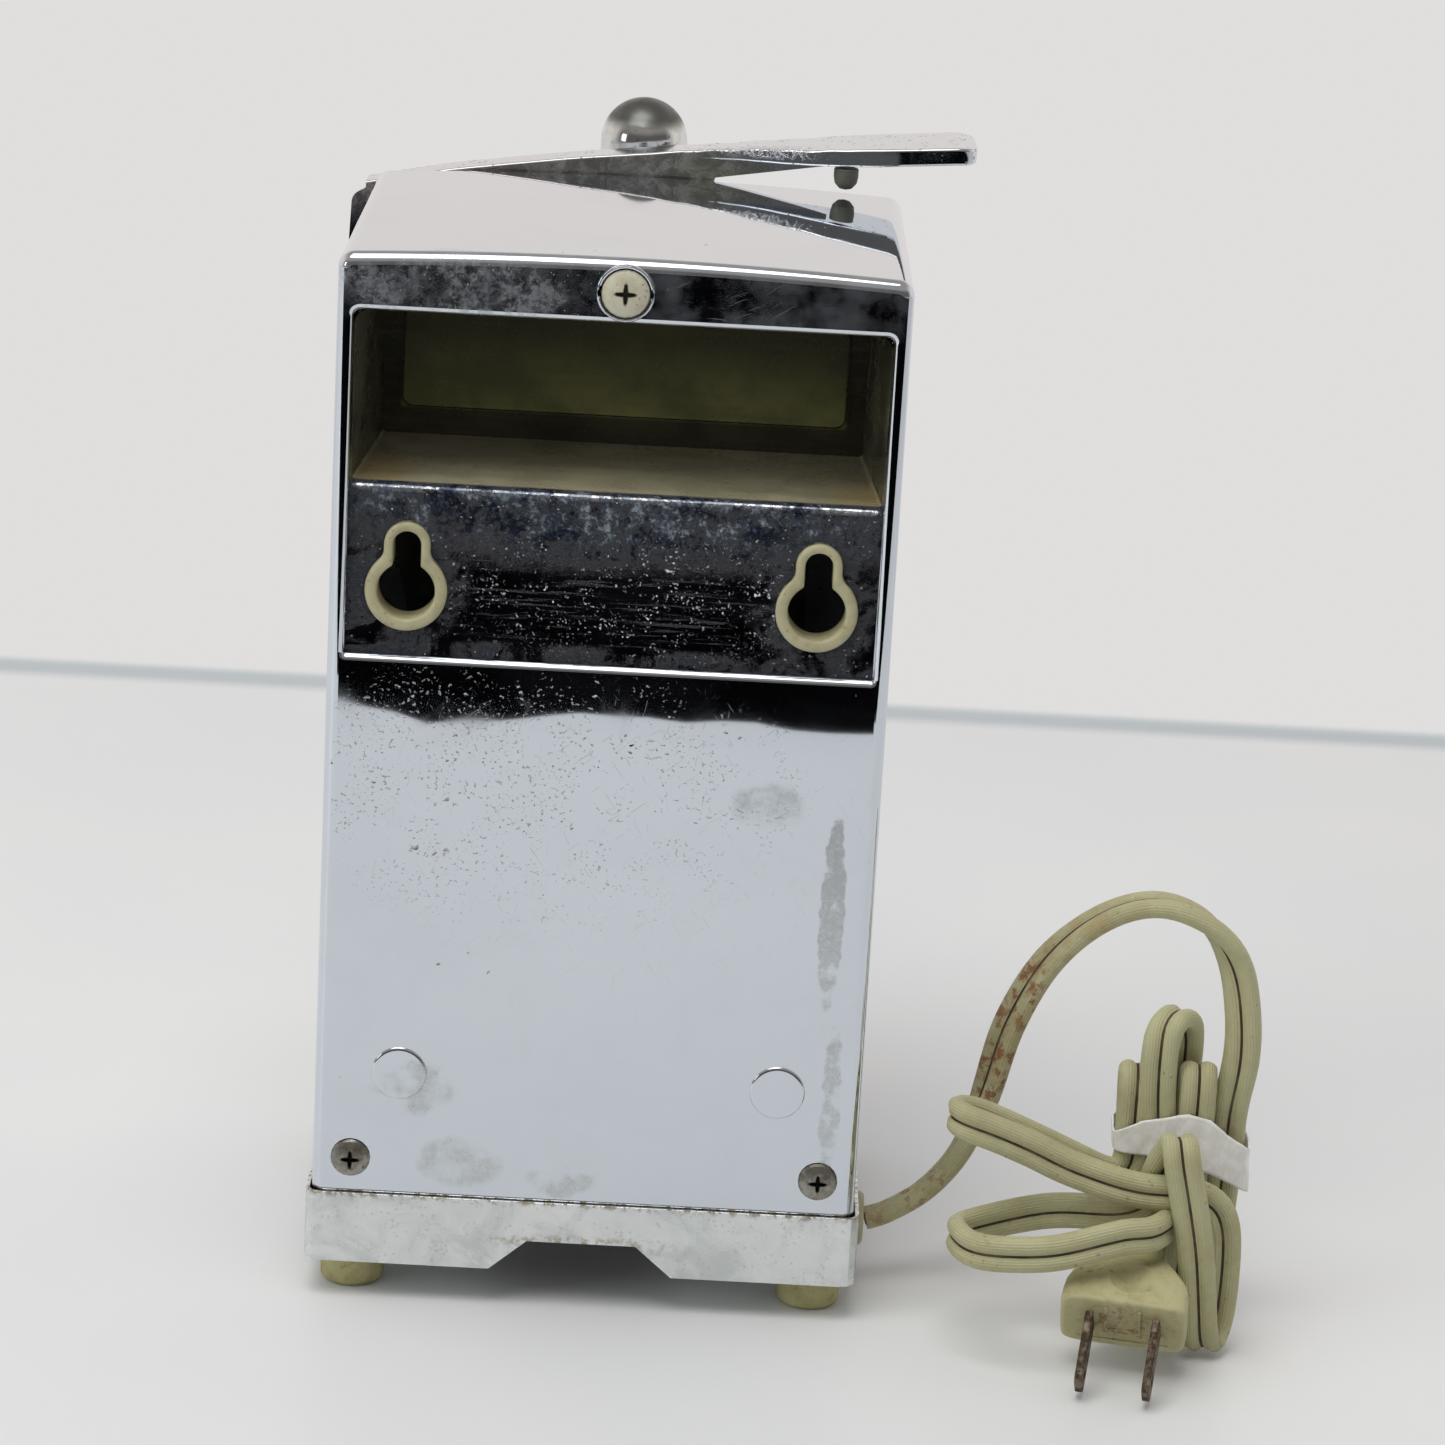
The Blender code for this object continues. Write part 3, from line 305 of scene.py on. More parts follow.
def chrome_back():
    """Chrome of the wrap-round shell: bright, pitted, scratched and stained on its lower panel."""
    look = Look("chrome_shell")
    pits_zone = look.near((14, 0, 102), (34, 60, 18), 0.8)
    pits = (look.dust(0.8, 0.61) * look.ramp(look.noise(6.0), 0.46, 0.58) * pits_zone
            | look.specks(3.0, 0.13, 2.4, 0.52) * pits_zone | look.specks(7.0, 0.06, 1.6))
    marks = look.ramp(look.noise(1.7, 4.0, 0.7, 0.5), 0.56, 0.62)
    marks = marks * look.near((32, 0, 92), (3.2, 60, 1.3), 0.5)
    hair = look.scratches(8, 0.22, 38, 0.72) | look.scratches(6, 0.22, -55, 0.74)
    hair = (hair | look.scratches(5, 0.25, 80, 0.75)) * look.near((0, 0, 98), (46, 60, 30), 0.6)
    band_lines = look.scratches(9, 0.20, 27, 0.70) | look.scratches(13, 0.22, -5, 0.73)
    band_lines = band_lines * look.near((-22, 0, 200), (17, 8, 6), 0.4)
    stains = (
        look.blotch((-31, 0, 104), (8, 30, 5.0), 7.0, 0.42, 0.30) * 0.7
        | look.blotch((-44.5, 0, 82), (2.6, 30, 22), 4.0, 0.38, 0.10)
        | look.blotch((-46.5, 0, 45), (2.2, 30, 18), 3.4, 0.42, 0.10)
        | look.blotch((24, 0, 29), (9, 30, 6), 6.0, 0.46, 0.14)
        | look.blotch((4, 0, 26), (8, 30, 4), 5.0, 0.48, 0.14)
        | look.blotch((33, 0, 44), (9, 30, 6), 5.0, 0.48, 0.14)
    ) * look.ramp(look.noise(1.1, 4.0, 0.7), 0.30, 0.75, 0.65, 1.0)
    faint = look.ramp(look.noise(24, 5.0, 0.65, 0.6), 0.44, 0.68)
    haze = look.blotch((30, 0, 200), (24, 8, 7), 9.0, 0.40, 0.14)
    haze = haze * look.ramp(look.noise(1.6, 4.0, 0.7), 0.38, 0.62, 0.15, 1.0)
    band_dust = look.dust(0.6, 0.67) * look.near((24, 0, 200), (32, 8, 7), 0.3) * 0.6
    low_dust = (look.dust(0.5, 0.69) | look.dust(1.0, 0.72)) * look.near((0, 0, 123), (60, 8, 6), 0.3)
    low_dust = low_dust * look.ramp(look.noise(9, 2.0), 0.50, 0.66, 0.05, 1.0)
    rust_line = look.ramp(look.noise(1.4, 4.0, 0.7), 0.50, 0.60) * look.ramp(look.axis("Z"), 20.2, 18.6)
    base = look.layers(
        CHROME, (faint * 0.22, (0.62, 0.66, 0.70)), (stains * 0.55, (0.50, 0.52, 0.51)),
        (haze * 0.5, (0.30, 0.31, 0.30)), (hair * 0.45, (0.40, 0.40, 0.38)), (pits * 0.60, (0.36, 0.33, 0.25)),
        (marks * 0.8, (0.26, 0.20, 0.11)), (rust_line * 0.6, (0.30, 0.17, 0.08)),
    )
    rough = (stains * 0.34 + haze * 0.20 + pits * 0.35 + marks * 0.4 + band_lines * 0.25 + hair * 0.12
             + rust_line * 0.45 + band_dust * 0.5 + low_dust * 0.5 + faint * 0.03 + 0.022)
    veil = look.near((0, 0, 200), (60, 8, 8), 0.3) * look.ramp(look.noise(8, 5.0, 0.66), 0.36, 0.66) * 0.09
    dull = (band_dust | low_dust * 0.75 | band_lines * 0.28) * 0.7 | veil | haze * 0.30
    waves = look.bump(look.noise(46, 1.5, 0.4), 0.10)
    return look.made(base, rough, look.bump(1.0 - (pits | marks), 0.04, waves), 1.0 - dull)


def small_chrome():
    """Chrome of the smaller bright pieces, with light wear."""
    look = Look("chrome_small", Metallic=1.0)
    wear = look.ramp(look.noise(5, 5.0, 0.65, 0.5), 0.50, 0.66)
    dots = look.specks(1.4, 0.22)
    base = look.layers(CHROME, (wear * 0.45, (0.46, 0.47, 0.43)), (dots * 0.8, (0.24, 0.21, 0.17)))
    return look.made(base, 0.05 + wear * 0.14 + dots * 0.35, look.bump(look.noise(30, 1.0), 0.06))


def dome_chrome():
    """The dome over the magnet: worn in patches, dull and grey on top, where its upward faces are painted dark grey
    as a painted reflection of the dim ceiling, and bright lower down.
    """
    look = Look("chrome_dome", Metallic=1.0)
    wear = look.ramp(look.noise(5, 5.0, 0.65, 0.5), 0.46, 0.66)
    # Painted reflection: faces turned upwards are painted dark grey, standing in for the dim ceiling they mirror,
    # and are made rougher.
    top = look.ramp(look.normal_axis("Z"), 0.30, 0.62)
    base = look.layers(
        (0.74, 0.76, 0.76), (wear * 0.6, (0.52, 0.53, 0.49)),
        (top, look.mix(wear, (0.19, 0.20, 0.19), (0.15, 0.16, 0.15))),
        (look.specks(1.4, 0.26) * 0.6, (0.24, 0.21, 0.17)),
    )
    rough = look.ramp(top, 0, 1, 0.10, 0.36) + wear * 0.10
    return look.made(base, rough, look.bump(look.noise(9, 2.0), 0.10))


def plate_dust(look, plate):
    """Dust on the keyhole plate: (share of the surface that it covers, its colour)."""
    grain = look.ramp(look.noise(1.3, 5.0, 0.72), 0.34, 0.68, 0.15, 1.0)
    cloud = look.ramp(look.noise(7, 5.0, 0.68, 0.6), 0.40, 0.64)
    navy = look.near((2, 0, 158), (60, 8, 8), 0.6) * look.ramp(cloud, 0.0, 1.0, 0.45, 1.0) * grain
    pale = look.near((2, 0, 158), (60, 8, 6), 0.6) * look.ramp(look.noise(4.5, 5.0, 0.7), 0.43, 0.60) * grain
    rims = (
        look.near((38, 0, 145), (10.5, 8, 13), 0.25) | look.near((-38, 0, 145), (11.5, 8, 13.5), 0.25)
        | look.near((49, 0, 146), (3, 8, 20), 0.5) | look.near((0, 0, 130.6), (60, 8, 1.6), 0.7)
        | look.near((12, 0, 158), (6, 8, 2.6), 0.5) | look.near((-14, 0, 156.5), (8, 8, 2.6), 0.5)
    )
    grey = rims * cloud * grain
    streak = look.noise(1.0, 5.0, 0.7, where=look.stretched(1 / 16, 0.5, 1 / 0.8))
    streaks = look.ramp(streak, 0.54, 0.66) * grain * look.near((-4, 0, 148), (36, 8, 14), 0.5)
    flakes = (look.dust(0.55, 0.60) * look.ramp(look.noise(5.0, 4.0, 0.7), 0.47, 0.60)
              | look.dust(1.2, 0.62) * look.ramp(look.noise(9.0, 3.0, 0.7), 0.50, 0.58))
    flakes = flakes * look.near((-4, 0, 143), (34, 8, 13), 0.4) * plate
    stray = look.dust(0.8, 0.67) * plate
    colour = look.layers(
        (0.010, 0.010, 0.012), (navy, (0.040, 0.055, 0.105)), (streaks * 0.5, (0.06, 0.065, 0.10)),
        (grey, (0.19, 0.22, 0.26)), (pale, (0.40, 0.46, 0.52)), (flakes | stray, (0.85, 0.86, 0.88)),
    )
    return (navy * 0.75 | grey * 0.55 | pale * 0.8 | streaks * 0.4 | flakes | stray * 0.7) * plate, colour


def chrome_pocket():
    """Chrome of the keyhole plate, dusty and speckled white, and of the dull olive finger pocket, whose light and
    shade are painted into its colour.
    """
    look = Look("chrome_pocket")
    mouth = MIDDLE_D - 3.2
    back = MIDDLE_D - POCKET_DEPTH
    inside = look.ramp(look.axis("Y"), mouth, mouth - 1.6)
    dust, dust_colour = plate_dust(look, 1.0 - inside)
    # Painted light and shade by facing: upward faces take the painted lit floor, downward faces a painted shade,
    # side faces a lighter painted tone.
    up = look.ramp(look.normal_axis("Z"), 0.35, 0.85)
    down = look.ramp(look.normal_axis("Z"), -0.35, -0.85)
    side = look.ramp(look.math("ABSOLUTE", look.normal_axis("X")), 0.5, 0.9)
    cloud = look.ramp(look.noise(14, 5.0, 0.6), 0.34, 0.62)
    brushed = look.noise(1.0, 4.0, 0.6, where=look.stretched(1 / 30, 1 / 6, 1 / 1.2))
    sideways = look.math("ABSOLUTE", look.axis("X") + MIDDLE_X)
    height = look.axis("Z")
    # The embossed back panel is painted lighter at its foot, fading towards its top: a painted pool of light.
    panel = (look.ramp(sideways, 43.0, 42.0) * look.ramp(height, 168.0, 169.2) * look.ramp(height, 189, 188)
             * look.ramp(height, 170, 186, 1.0, 0.16) * look.ramp(look.axis("Y"), back + 4, back + 2))
    # The walls: the pocket's dark olive tone, darkened as painted shade deep in the pocket, under the panel's
    # painted light and the painted shade and light of the faces.
    wall = look.layers(
        look.mix(cloud, (0.060, 0.060, 0.036), (0.036, 0.036, 0.022)),
        (panel, look.mix(cloud, (0.30, 0.31, 0.125), (0.17, 0.18, 0.075))),
        (down, (0.060, 0.055, 0.040)), (side * cloud, (0.16, 0.16, 0.11)),
    )
    corner = look.near((45, 8, 163), (6, 12, 8), 0.6) | look.near((-46, 8, 163), (6, 12, 8), 0.6)
    # The floor: a golden tone painted bright as painted light from above, more orange towards the pocket's corners.
    lit_floor = look.mix(cloud, (0.74, 0.68, 0.46), (0.56, 0.51, 0.34))
    lit_floor = look.mix(corner * 0.55, lit_floor, (0.62, 0.46, 0.17))
    olive = look.layers(wall, (up, lit_floor), (look.ramp(brushed, 0.45, 0.7) * 0.25, (0.14, 0.12, 0.07)))
    base = look.layers((0.70, 0.72, 0.78), (inside, olive), (look.ramp(dust, 0.0, 0.3), dust_colour))
    rough = 0.03 + dust * 0.08 + inside * look.ramp(cloud, 0, 1, 0.16, 0.26)
    return look.made(base, rough, look.bump(look.noise(30, 1.5), 0.07), 1.0 - (dust + inside * 0.6))


def satin_metal(name, tint, dark, rough, patch=10.0, recess=None):
    """Dull plated steel with cloudy patches and fine grit; recess is a dark star in it, painted shade in a screw's
    cross recess.
    """
    look = Look(name, Metallic=1.0)
    patches = look.ramp(look.noise(patch, 5.0, 0.62, 0.5), 0.36, 0.68)
    grit = look.ramp(look.noise(0.6, 3.0, 0.6), 0.35, 0.75)
    dots = look.specks(2.2, 0.22)
    base = look.layers(tint, (patches, dark), (dots * 0.7, GRIME))
    if recess:
        # Painted shade: the star darkens the screw's cross recess.
        base = look.mix(look.star(*recess), base, (0.012, 0.010, 0.008))
    return look.made(base, rough + patches * 0.14 + dots * 0.3, look.bump(grit, 0.012))


def base_metal():
    """The base pan: satin nickel, water-marked, brown along its top edge and round the notch."""
    look = Look("base_pan_metal", Metallic=1.0)
    patches = look.ramp(look.noise(11, 6.0, 0.66, 0.7), 0.36, 0.66)
    clouds = look.ramp(look.noise(34), 0.36, 0.64)
    dots = look.specks(2.0, 0.24) | look.specks(1.1, 0.36, 4.0, 0.52)
    ragged = look.ramp(look.noise(1.6, 5.0, 0.7), 0.46, 0.60)
    top_dirt = look.ramp(look.axis("Z"), 20.4, 21.8) * ragged
    notch_dirt = look.near((0, 0, 13.6), (16, 30, 1.4), 0.6) * ragged
    base = look.layers(
        (0.80, 0.82, 0.81), (patches, (0.65, 0.67, 0.67)), (clouds * 0.4, (0.72, 0.75, 0.76)),
        (dots * 0.15, (0.40, 0.37, 0.28)), ((top_dirt | notch_dirt) * 0.75, (0.32, 0.25, 0.13)),
    )
    relief = look.bump(look.noise(36, 1.0), 0.10, look.bump(look.noise(0.7), 0.010))
    return look.made(base, 0.17 + patches * 0.16 + dots * 0.15 + top_dirt * 0.3, relief)


def plastic(name, tint, dirty, rough, dirt_size, dirt=0.5, recess=None):
    """Moulded plastic or rubber with grime in soft patches and a fine grain; recess is a dark star in it, painted
    shade in a screw's cross recess.
    """
    look = Look(name)
    patches = look.ramp(look.noise(dirt_size, 5.0, 0.62), 0.40, 0.72)
    spots = look.specks(1.3, 0.24)
    base = look.layers(tint, (patches * dirt, dirty), (spots * 0.55, [c * 0.45 for c in dirty]))
    if recess:
        # Painted shade: the star darkens the screw's cross recess.
        base = look.mix(look.star(*recess), base, (0.035, 0.028, 0.016))
    return look.made(base, rough + patches * 0.14, look.bump(look.noise(0.6), 0.020))


def foot_rubber():
    look = Look("foot_rubber", Specular_IOR_Level=0.35)
    patches = look.ramp(look.noise(5.0, 5.0, 0.62), 0.42, 0.66)
    stain = look.ramp(look.noise(3.2, 5.0, 0.7), 0.54, 0.64)
    base = look.layers((0.44, 0.415, 0.20), (patches * 0.6, (0.29, 0.26, 0.115)),
                       (stain * 0.6, (0.26, 0.17, 0.06)))
    return look.made(base, 0.62, look.bump(look.noise(0.7, 4.0), 0.03))


def cord_vinyl():
    """Aged putty vinyl: mottled, finely ribbed, with rust where it rubbed on the base and along the arch."""
    look = Look("cord_vinyl", Specular_IOR_Level=0.4)
    cloud = look.ramp(look.noise(14, 4.0, 0.6), 0.38, 0.66)
    small = look.ramp(look.noise(2.0, 5.0, 0.7), 0.44, 0.70)
    rusty = (look.near((-79, 21, 47), (5, 12, 16), 0.5) | look.near((-84, 19.5, 63), (5, 12, 9), 0.5)
             | look.near((-67, 21, 20), (6, 12, 5), 0.5) * 0.8
             | look.near((-58, 20, 13), (4, 12, 4), 0.5) * 0.5)
    rust = look.ramp(look.noise(2.6, 6.0, 0.72), 0.48, 0.60) * rusty
    tinge = rusty | look.near((-94, 17, 76), (14, 12, 9), 0.6)
    tinge = look.ramp(look.noise(3.5, 5.0, 0.7), 0.44, 0.60) * tinge
    base = look.layers(
        (0.465, 0.455, 0.260), (cloud * 0.6, (0.37, 0.34, 0.180)), (small * 0.25, (0.56, 0.53, 0.32)),
        (look.specks(1.8, 0.22) * 0.5, (0.20, 0.15, 0.07)), (tinge * 0.4, (0.40, 0.24, 0.09)),
        (rust * 0.9, (0.24, 0.085, 0.028)),
    )
    around = look.part(look.node("TexCoord", "UV", {}), "Y")
    ribs = look.bump(look.math("SINE", around * (2 * math.pi * RIBS)), 0.035)
    return look.made(base, 0.44 + cloud * 0.12, look.bump(look.noise(1.2), 0.03, ribs))


def cord_groove():
    """The dark line in the valley between the two cores: dirt, with painted shade of the crease."""
    look = Look("cord_groove")
    broken = look.ramp(look.noise(5.0), 0.40, 0.70)
    return look.made(look.mix(broken, (0.045, 0.027, 0.014), (0.11, 0.08, 0.045)), 0.8)


def plug_vinyl():
    look = Look("plug_vinyl", Specular_IOR_Level=0.35)
    cloud = look.ramp(look.noise(7, 5.0, 0.62), 0.40, 0.68)
    grime = look.ramp(look.noise(1.8, 5.0, 0.7), 0.50, 0.68)
    rust = (look.specks(2.6, 0.22, 2.0)
            | look.ramp(look.noise(1.5, 5.0, 0.7), 0.50, 0.58) * look.near((-104, -21, 12), (9, 3, 4)))
    base = look.layers((0.46, 0.435, 0.235), (cloud * 0.55, (0.35, 0.315, 0.155)),
                       (grime * 0.35, (0.25, 0.205, 0.095)), (rust * 0.6, (0.22, 0.09, 0.03)))
    return look.made(base, 0.55, look.bump(look.noise(1.4, 4.0), 0.05))


def blade_metal():
    look = Look("blade_brass", Metallic=0.7)
    rust = look.ramp(look.noise(2.2, 5.0, 0.7), 0.38, 0.60)
    base = look.mix(rust, (0.19, 0.155, 0.105), (0.075, 0.050, 0.034))
    return look.made(base, 0.42 + rust * 0.3, look.bump(look.noise(0.9), 0.04))


def tie_strip():
    look = Look("tie_strip", Specular_IOR_Level=0.3)
    creases = look.noise(1.9, 4.0, 0.6, 0.4, where=look.stretched(0.8, 0.8, 0.5))
    # Painted shade: the strip is painted darker where the crease relief is low, in the valleys of its creases.
    base = look.mix(look.ramp(creases, 0.35, 0.7), (0.80, 0.79, 0.72), (0.92, 0.92, 0.89))
    return look.made(base, 0.65, look.bump(creases, 0.22))


def lever_chrome():
    """Chrome of the lever: dull and mottled on its rear face, which is painted a darker grey as a painted dark
    reflection, with bright nicks along its crease.
    """
    look = Look("chrome_lever")
    # Painted reflection: faces turned backwards are painted a dull mottled grey and made rougher and less metallic,
    # standing in for the dark room they mirror.
    rear = look.ramp(look.normal_axis("Y"), 0.6, 0.9) * look.near((14, 87, 202), (46, 6, 14), 0.2)
    mottle = look.ramp(look.noise(4.5, 6.0, 0.7, 0.6), 0.38, 0.66)
    dots = look.specks(1.2, 0.32) | look.specks(2.6, 0.2)
    pinkish = look.ramp(look.axis("X"), 0.0, 44.0)
    # The painted dark reflection of the rear face: mottled grey, with an olive patch and a pinkish end.
    dull = look.layers(
        look.mix(mottle, (0.30, 0.30, 0.27), (0.46, 0.46, 0.43)),
        (look.near((-16, 86, 208), (9, 9, 5), 0.7) * 0.5, (0.34, 0.34, 0.20)),
        (pinkish * 0.6, (0.44, 0.34, 0.345)),
    )
    base = look.layers(CHROME, (pinkish * 0.25, (0.72, 0.65, 0.68)), (mottle * 0.14, (0.50, 0.50, 0.46)),
                       (rear * 0.85, dull), (dots * 0.7, (0.20, 0.18, 0.13)))
    rough = 0.05 + mottle * 0.08 + dots * 0.35 + rear * mottle * 0.14
    crease = look.near((-20, 84.5, 213.0), (20, 4, 1.2), 0.5)
    nicks = look.ramp(look.noise(1.6, 4.0, 0.6), 0.42, 0.62) * crease
    nicked = look.bump(nicks, 0.16, look.bump(look.noise(22, 1.0), 0.08))
    return look.made(base, rough, nicked, 1.0 - rear * look.ramp(mottle, 0, 1, 0.16, 0.34))


# ---------------------------------------------------------------- mesh helpers


def mesh_piece(name, bm, *materials, smooth=30.0):
    """Makes an object whose mesh is in row-frame coordinates, shaded smooth below that angle."""
    mesh = bpy.data.meshes.new(name)
    bm.to_mesh(mesh)
    bm.free()
    mesh.shade_smooth()
    mesh.set_sharp_from_angle(angle=math.radians(smooth))
    for material in materials:
        mesh.materials.append(material)
    piece = bpy.data.objects.new(name, mesh)
    bpy.context.scene.collection.objects.link(piece)
    return piece


def attach(piece, slot, *stands_for, body="housing"):
    """Puts a piece on its body, in place of the CAD nodes that it stands for; slot is not used."""
    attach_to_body(piece, body)
    if stands_for:
        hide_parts(*stands_for)


def smooth_by_angle():
    """Node group that shades a mesh smooth except at its sharper edges."""
    tree = bpy.data.node_groups.new("smooth_by_angle", "GeometryNodeTree")
    tree.interface.new_socket("Geometry", in_out="INPUT", socket_type="NodeSocketGeometry")
    tree.interface.new_socket("Geometry", in_out="OUTPUT", socket_type="NodeSocketGeometry")
    start, end = tree.nodes.new("NodeGroupInput"), tree.nodes.new("NodeGroupOutput")
    faces, edges = (tree.nodes.new("GeometryNodeSetShadeSmooth") for _ in range(2))
    edges.domain = "EDGE"
    edges.inputs["Shade Smooth"].default_value = False
    angle = tree.nodes.new("GeometryNodeInputMeshEdgeAngle")
    sharp = tree.nodes.new("FunctionNodeCompare")
    sharp.inputs["B"].default_value = math.radians(28)
    tree.links.new(angle.outputs["Unsigned Angle"], sharp.inputs["A"])
    tree.links.new(sharp.outputs["Result"], edges.inputs["Selection"])
    tree.links.new(start.outputs[0], faces.inputs["Geometry"])
    tree.links.new(faces.outputs[0], edges.inputs["Geometry"])
    tree.links.new(edges.outputs[0], end.inputs[0])
    return tree


def even_shading(piece):
    """Face-weighted normals, so that flat chrome stays flat."""
    even = piece.modifiers.new("even", "WEIGHTED_NORMAL")
    even.keep_sharp = True
    even.weight = 90


def rounding(piece, width=0.4, segments=3, angle=32.0, smooth=None):
    """Small rounded edges; smooth is the node group for a mesh that is shaded flat."""
    weld = piece.modifiers.new("weld", "WELD")
    weld.merge_threshold = 0.00001
    bevel = piece.modifiers.new("bevel", "BEVEL")
    bevel.width = width * MM
    bevel.segments = segments
    bevel.limit_method = "ANGLE"
    bevel.angle_limit = math.radians(angle)
    bevel.use_clamp_overlap = True
    if smooth:
        piece.modifiers.new("smooth", "NODES").node_group = smooth
    even_shading(piece)


def arc(cx, cz, radius, start, stop, steps):
    angles = [math.radians(start + (stop - start) * i / steps) for i in range(steps + 1)]
    return [(cx + radius * math.cos(a), cz + radius * math.sin(a)) for a in angles]


def rounded(points, radius, steps=6):
    """The polygon with each corner replaced by an arc; radius is one value or one per corner."""
    radii = radius if isinstance(radius, (list, tuple)) else [radius] * len(points)
    result = []
    for i, corner in enumerate(points):
        here = Vector(corner)
        before = (Vector(points[i - 1]) - here).normalized()
        after = (Vector(points[(i + 1) % len(points)]) - here).normalized()
        if radii[i] <= 0:
            result.append(tuple(here))
            continue
        half = before.angle(after) / 2
        reach = radii[i] / math.tan(half)
        centre = here + (before + after).normalized() * (radii[i] / math.sin(half))
        first, last = here + before * reach - centre, here + after * reach - centre
        turn = first.angle_signed(last)
        for k in range(steps + 1):
            spun = first.copy()
            spun.rotate(Matrix.Rotation(-turn * k / steps, 2))
            result.append(tuple(centre + spun))
    return result


def rectangle(x0, x1, z0, z1):
    return [(x0, z0), (x1, z0), (x1, z1), (x0, z1)]


def loft(rings, caps=True):
    """Joins closed rings of points, given in metres in the row frame, into one skin."""
    bm = bmesh.new()
    rows = [[bm.verts.new(p) for p in ring] for ring in rings]
    for one, two in zip(rows, rows[1:]):
        for k in range(len(one)):
            j = (k + 1) % len(one)
            bm.faces.new((one[k], one[j], two[j], two[k]))
    if caps:
        bm.faces.new(rows[0])
        bm.faces.new(rows[-1])
    bmesh.ops.recalc_face_normals(bm, faces=bm.faces)
    return bm


def helper(bm):
    """A cutter object."""
    bmesh.ops.recalc_face_normals(bm, faces=bm.faces)
    mesh = bpy.data.meshes.new("cutter")
    bm.to_mesh(mesh)
    bm.free()
    obj = bpy.data.objects.new("cutter", mesh)
    bpy.context.scene.collection.objects.link(obj)
    return obj


def carved(bm, cut=(), joined=()):
    """A bmesh with cutters taken away and others added, as one new bmesh."""
    body = helper(bm)
    tools = [(helper(shape), "DIFFERENCE") for shape in cut] + [(helper(shape), "UNION") for shape in joined]
    for tool, operation in tools:
        modifier = body.modifiers.new("carve", "BOOLEAN")
        modifier.operation = operation
        modifier.object = tool
    graph = bpy.context.evaluated_depsgraph_get()
    mesh = bpy.data.meshes.new_from_object(body.evaluated_get(graph))
    result = bmesh.new()
    result.from_mesh(mesh)
    for obj in [body] + [tool for tool, _ in tools]:
        bpy.data.objects.remove(obj)
    bpy.data.meshes.remove(mesh)
    return result


def prism(outline, d0, d1):
    return loft([[place(x, d, z) for x, z in outline] for d in (d0, d1)])


def turned(profile, origin, axis="d", sides=48):
    """Spins a profile of (radius, distance) about an axis through origin; it starts and ends on it."""
    along, u, v = {
        "d": (Vector((0, -1, 0)), Vector((1, 0, 0)), Vector((0, 0, 1))),
        "z": (Vector((0, 0, 1)), Vector((1, 0, 0)), Vector((0, 1, 0))),
    }[axis]
    bm = bmesh.new()
    rings = []
    for radius, distance in profile:
        centre = place(*origin) + along * distance * MM
        if radius == 0:
            rings.append([bm.verts.new(centre)] * sides)
            continue
        turns = [2 * math.pi * k / sides for k in range(sides)]
        rings.append([bm.verts.new(centre + (u * math.cos(a) + v * math.sin(a)) * radius * MM)
                      for a in turns])
    for one, two in zip(rings, rings[1:]):
        for k in range(sides):
            corners = [one[k], one[(k + 1) % sides], two[(k + 1) % sides], two[k]]
            bm.faces.new(list(dict.fromkeys(corners)))
    bmesh.ops.recalc_face_normals(bm, faces=bm.faces)
    return bm


# ---------------------------------------------------------------- cord, tie and plug

ARCH = [
    (-55.5, 20, 13.2), (-58, 20.3, 13.8), (-61.5, 21, 15.4), (-67, 21.8, 19), (-72.5, 22, 25.8), (-76, 21.8, 34),
    (-78, 21, 42), (-81.2, 20, 56), (-87.8, 18.8, 69.8), (-97.4, 17, 79.6), (-107.6, 15.2, 83.6),
    (-117.2, 13.6, 80.8), (-122.8, 12.4, 73.8), (-125.2, 11.4, 63.7), (-125.6, 10.6, 54.6),
]
HANK = [
    (-124.2, 10.4, 44), (-124, 10.5, 34), (-123.4, 10.5, 20), (-122.8, 10.6, 9), (-122.4, 11, 4.6),
    (-121.9, 12.8, 2.7), (-121.4, 14.7, 4.6), (-120.6, 15, 12), (-119.4, 13.6, 24), (-118.2, 11.4, 34),
    (-117.6, 10.8, 42), (-117.4, 10.8, 49.5), (-117.4, 8.9, 53.4), (-117.4, 7, 49.5), (-117.4, 7, 42),
    (-117, 7, 30), (-116.6, 7.2, 16), (-116.2, 7.4, 8), (-116, 7.6, 4.6), (-115.8, 9.6, 2.7), (-115.5, 11.6, 4.6),
    (-115.2, 12.2, 12), (-115, 13.6, 24), (-114.9, 14.6, 36), (-114.9, 14.6, 48), (-115, 14.2, 55.6),
    (-114.4, 13.2, 60.9), (-112.3, 10.5, 62.9), (-110, 7.8, 60.5), (-109.4, 7, 56), (-109.6, 7, 48),
    (-110.4, 7, 38), (-110.6, 7.2, 26), (-110.6, 7.4, 14), (-110.4, 7.6, 8), (-110.2, 7.8, 4.6), (-109.6, 9.7, 2.7),
    (-109, 11.6, 4.6), (-108.4, 12, 12), (-107.2, 11.6, 26), (-106.2, 11.3, 38), (-105.7, 11.2, 49.5),
    (-105.6, 9.3, 52.6), (-105.6, 7.5, 49.5), (-105.6, 7.4, 42), (-105.6, 6.6, 34),
]
UPPER_BIGHT = [
    (-103.5, 6, 31), (-100, 5, 31.5), (-95, 4.2, 34), (-87, 3.6, 37.8), (-79, 3, 41.4), (-73.5, 2.2, 43.6),
    (-70, 0.4, 44.2), (-72.5, -2, 43.4), (-78.5, -2.6, 41.6), (-85.5, -3, 39), (-92, -3.6, 36.2),
    (-98, -4.8, 34.6), (-103, -6, 33.6), (-108, -6.6, 33), (-112.5, -6.6, 33), (-117, -6, 32.4),
]
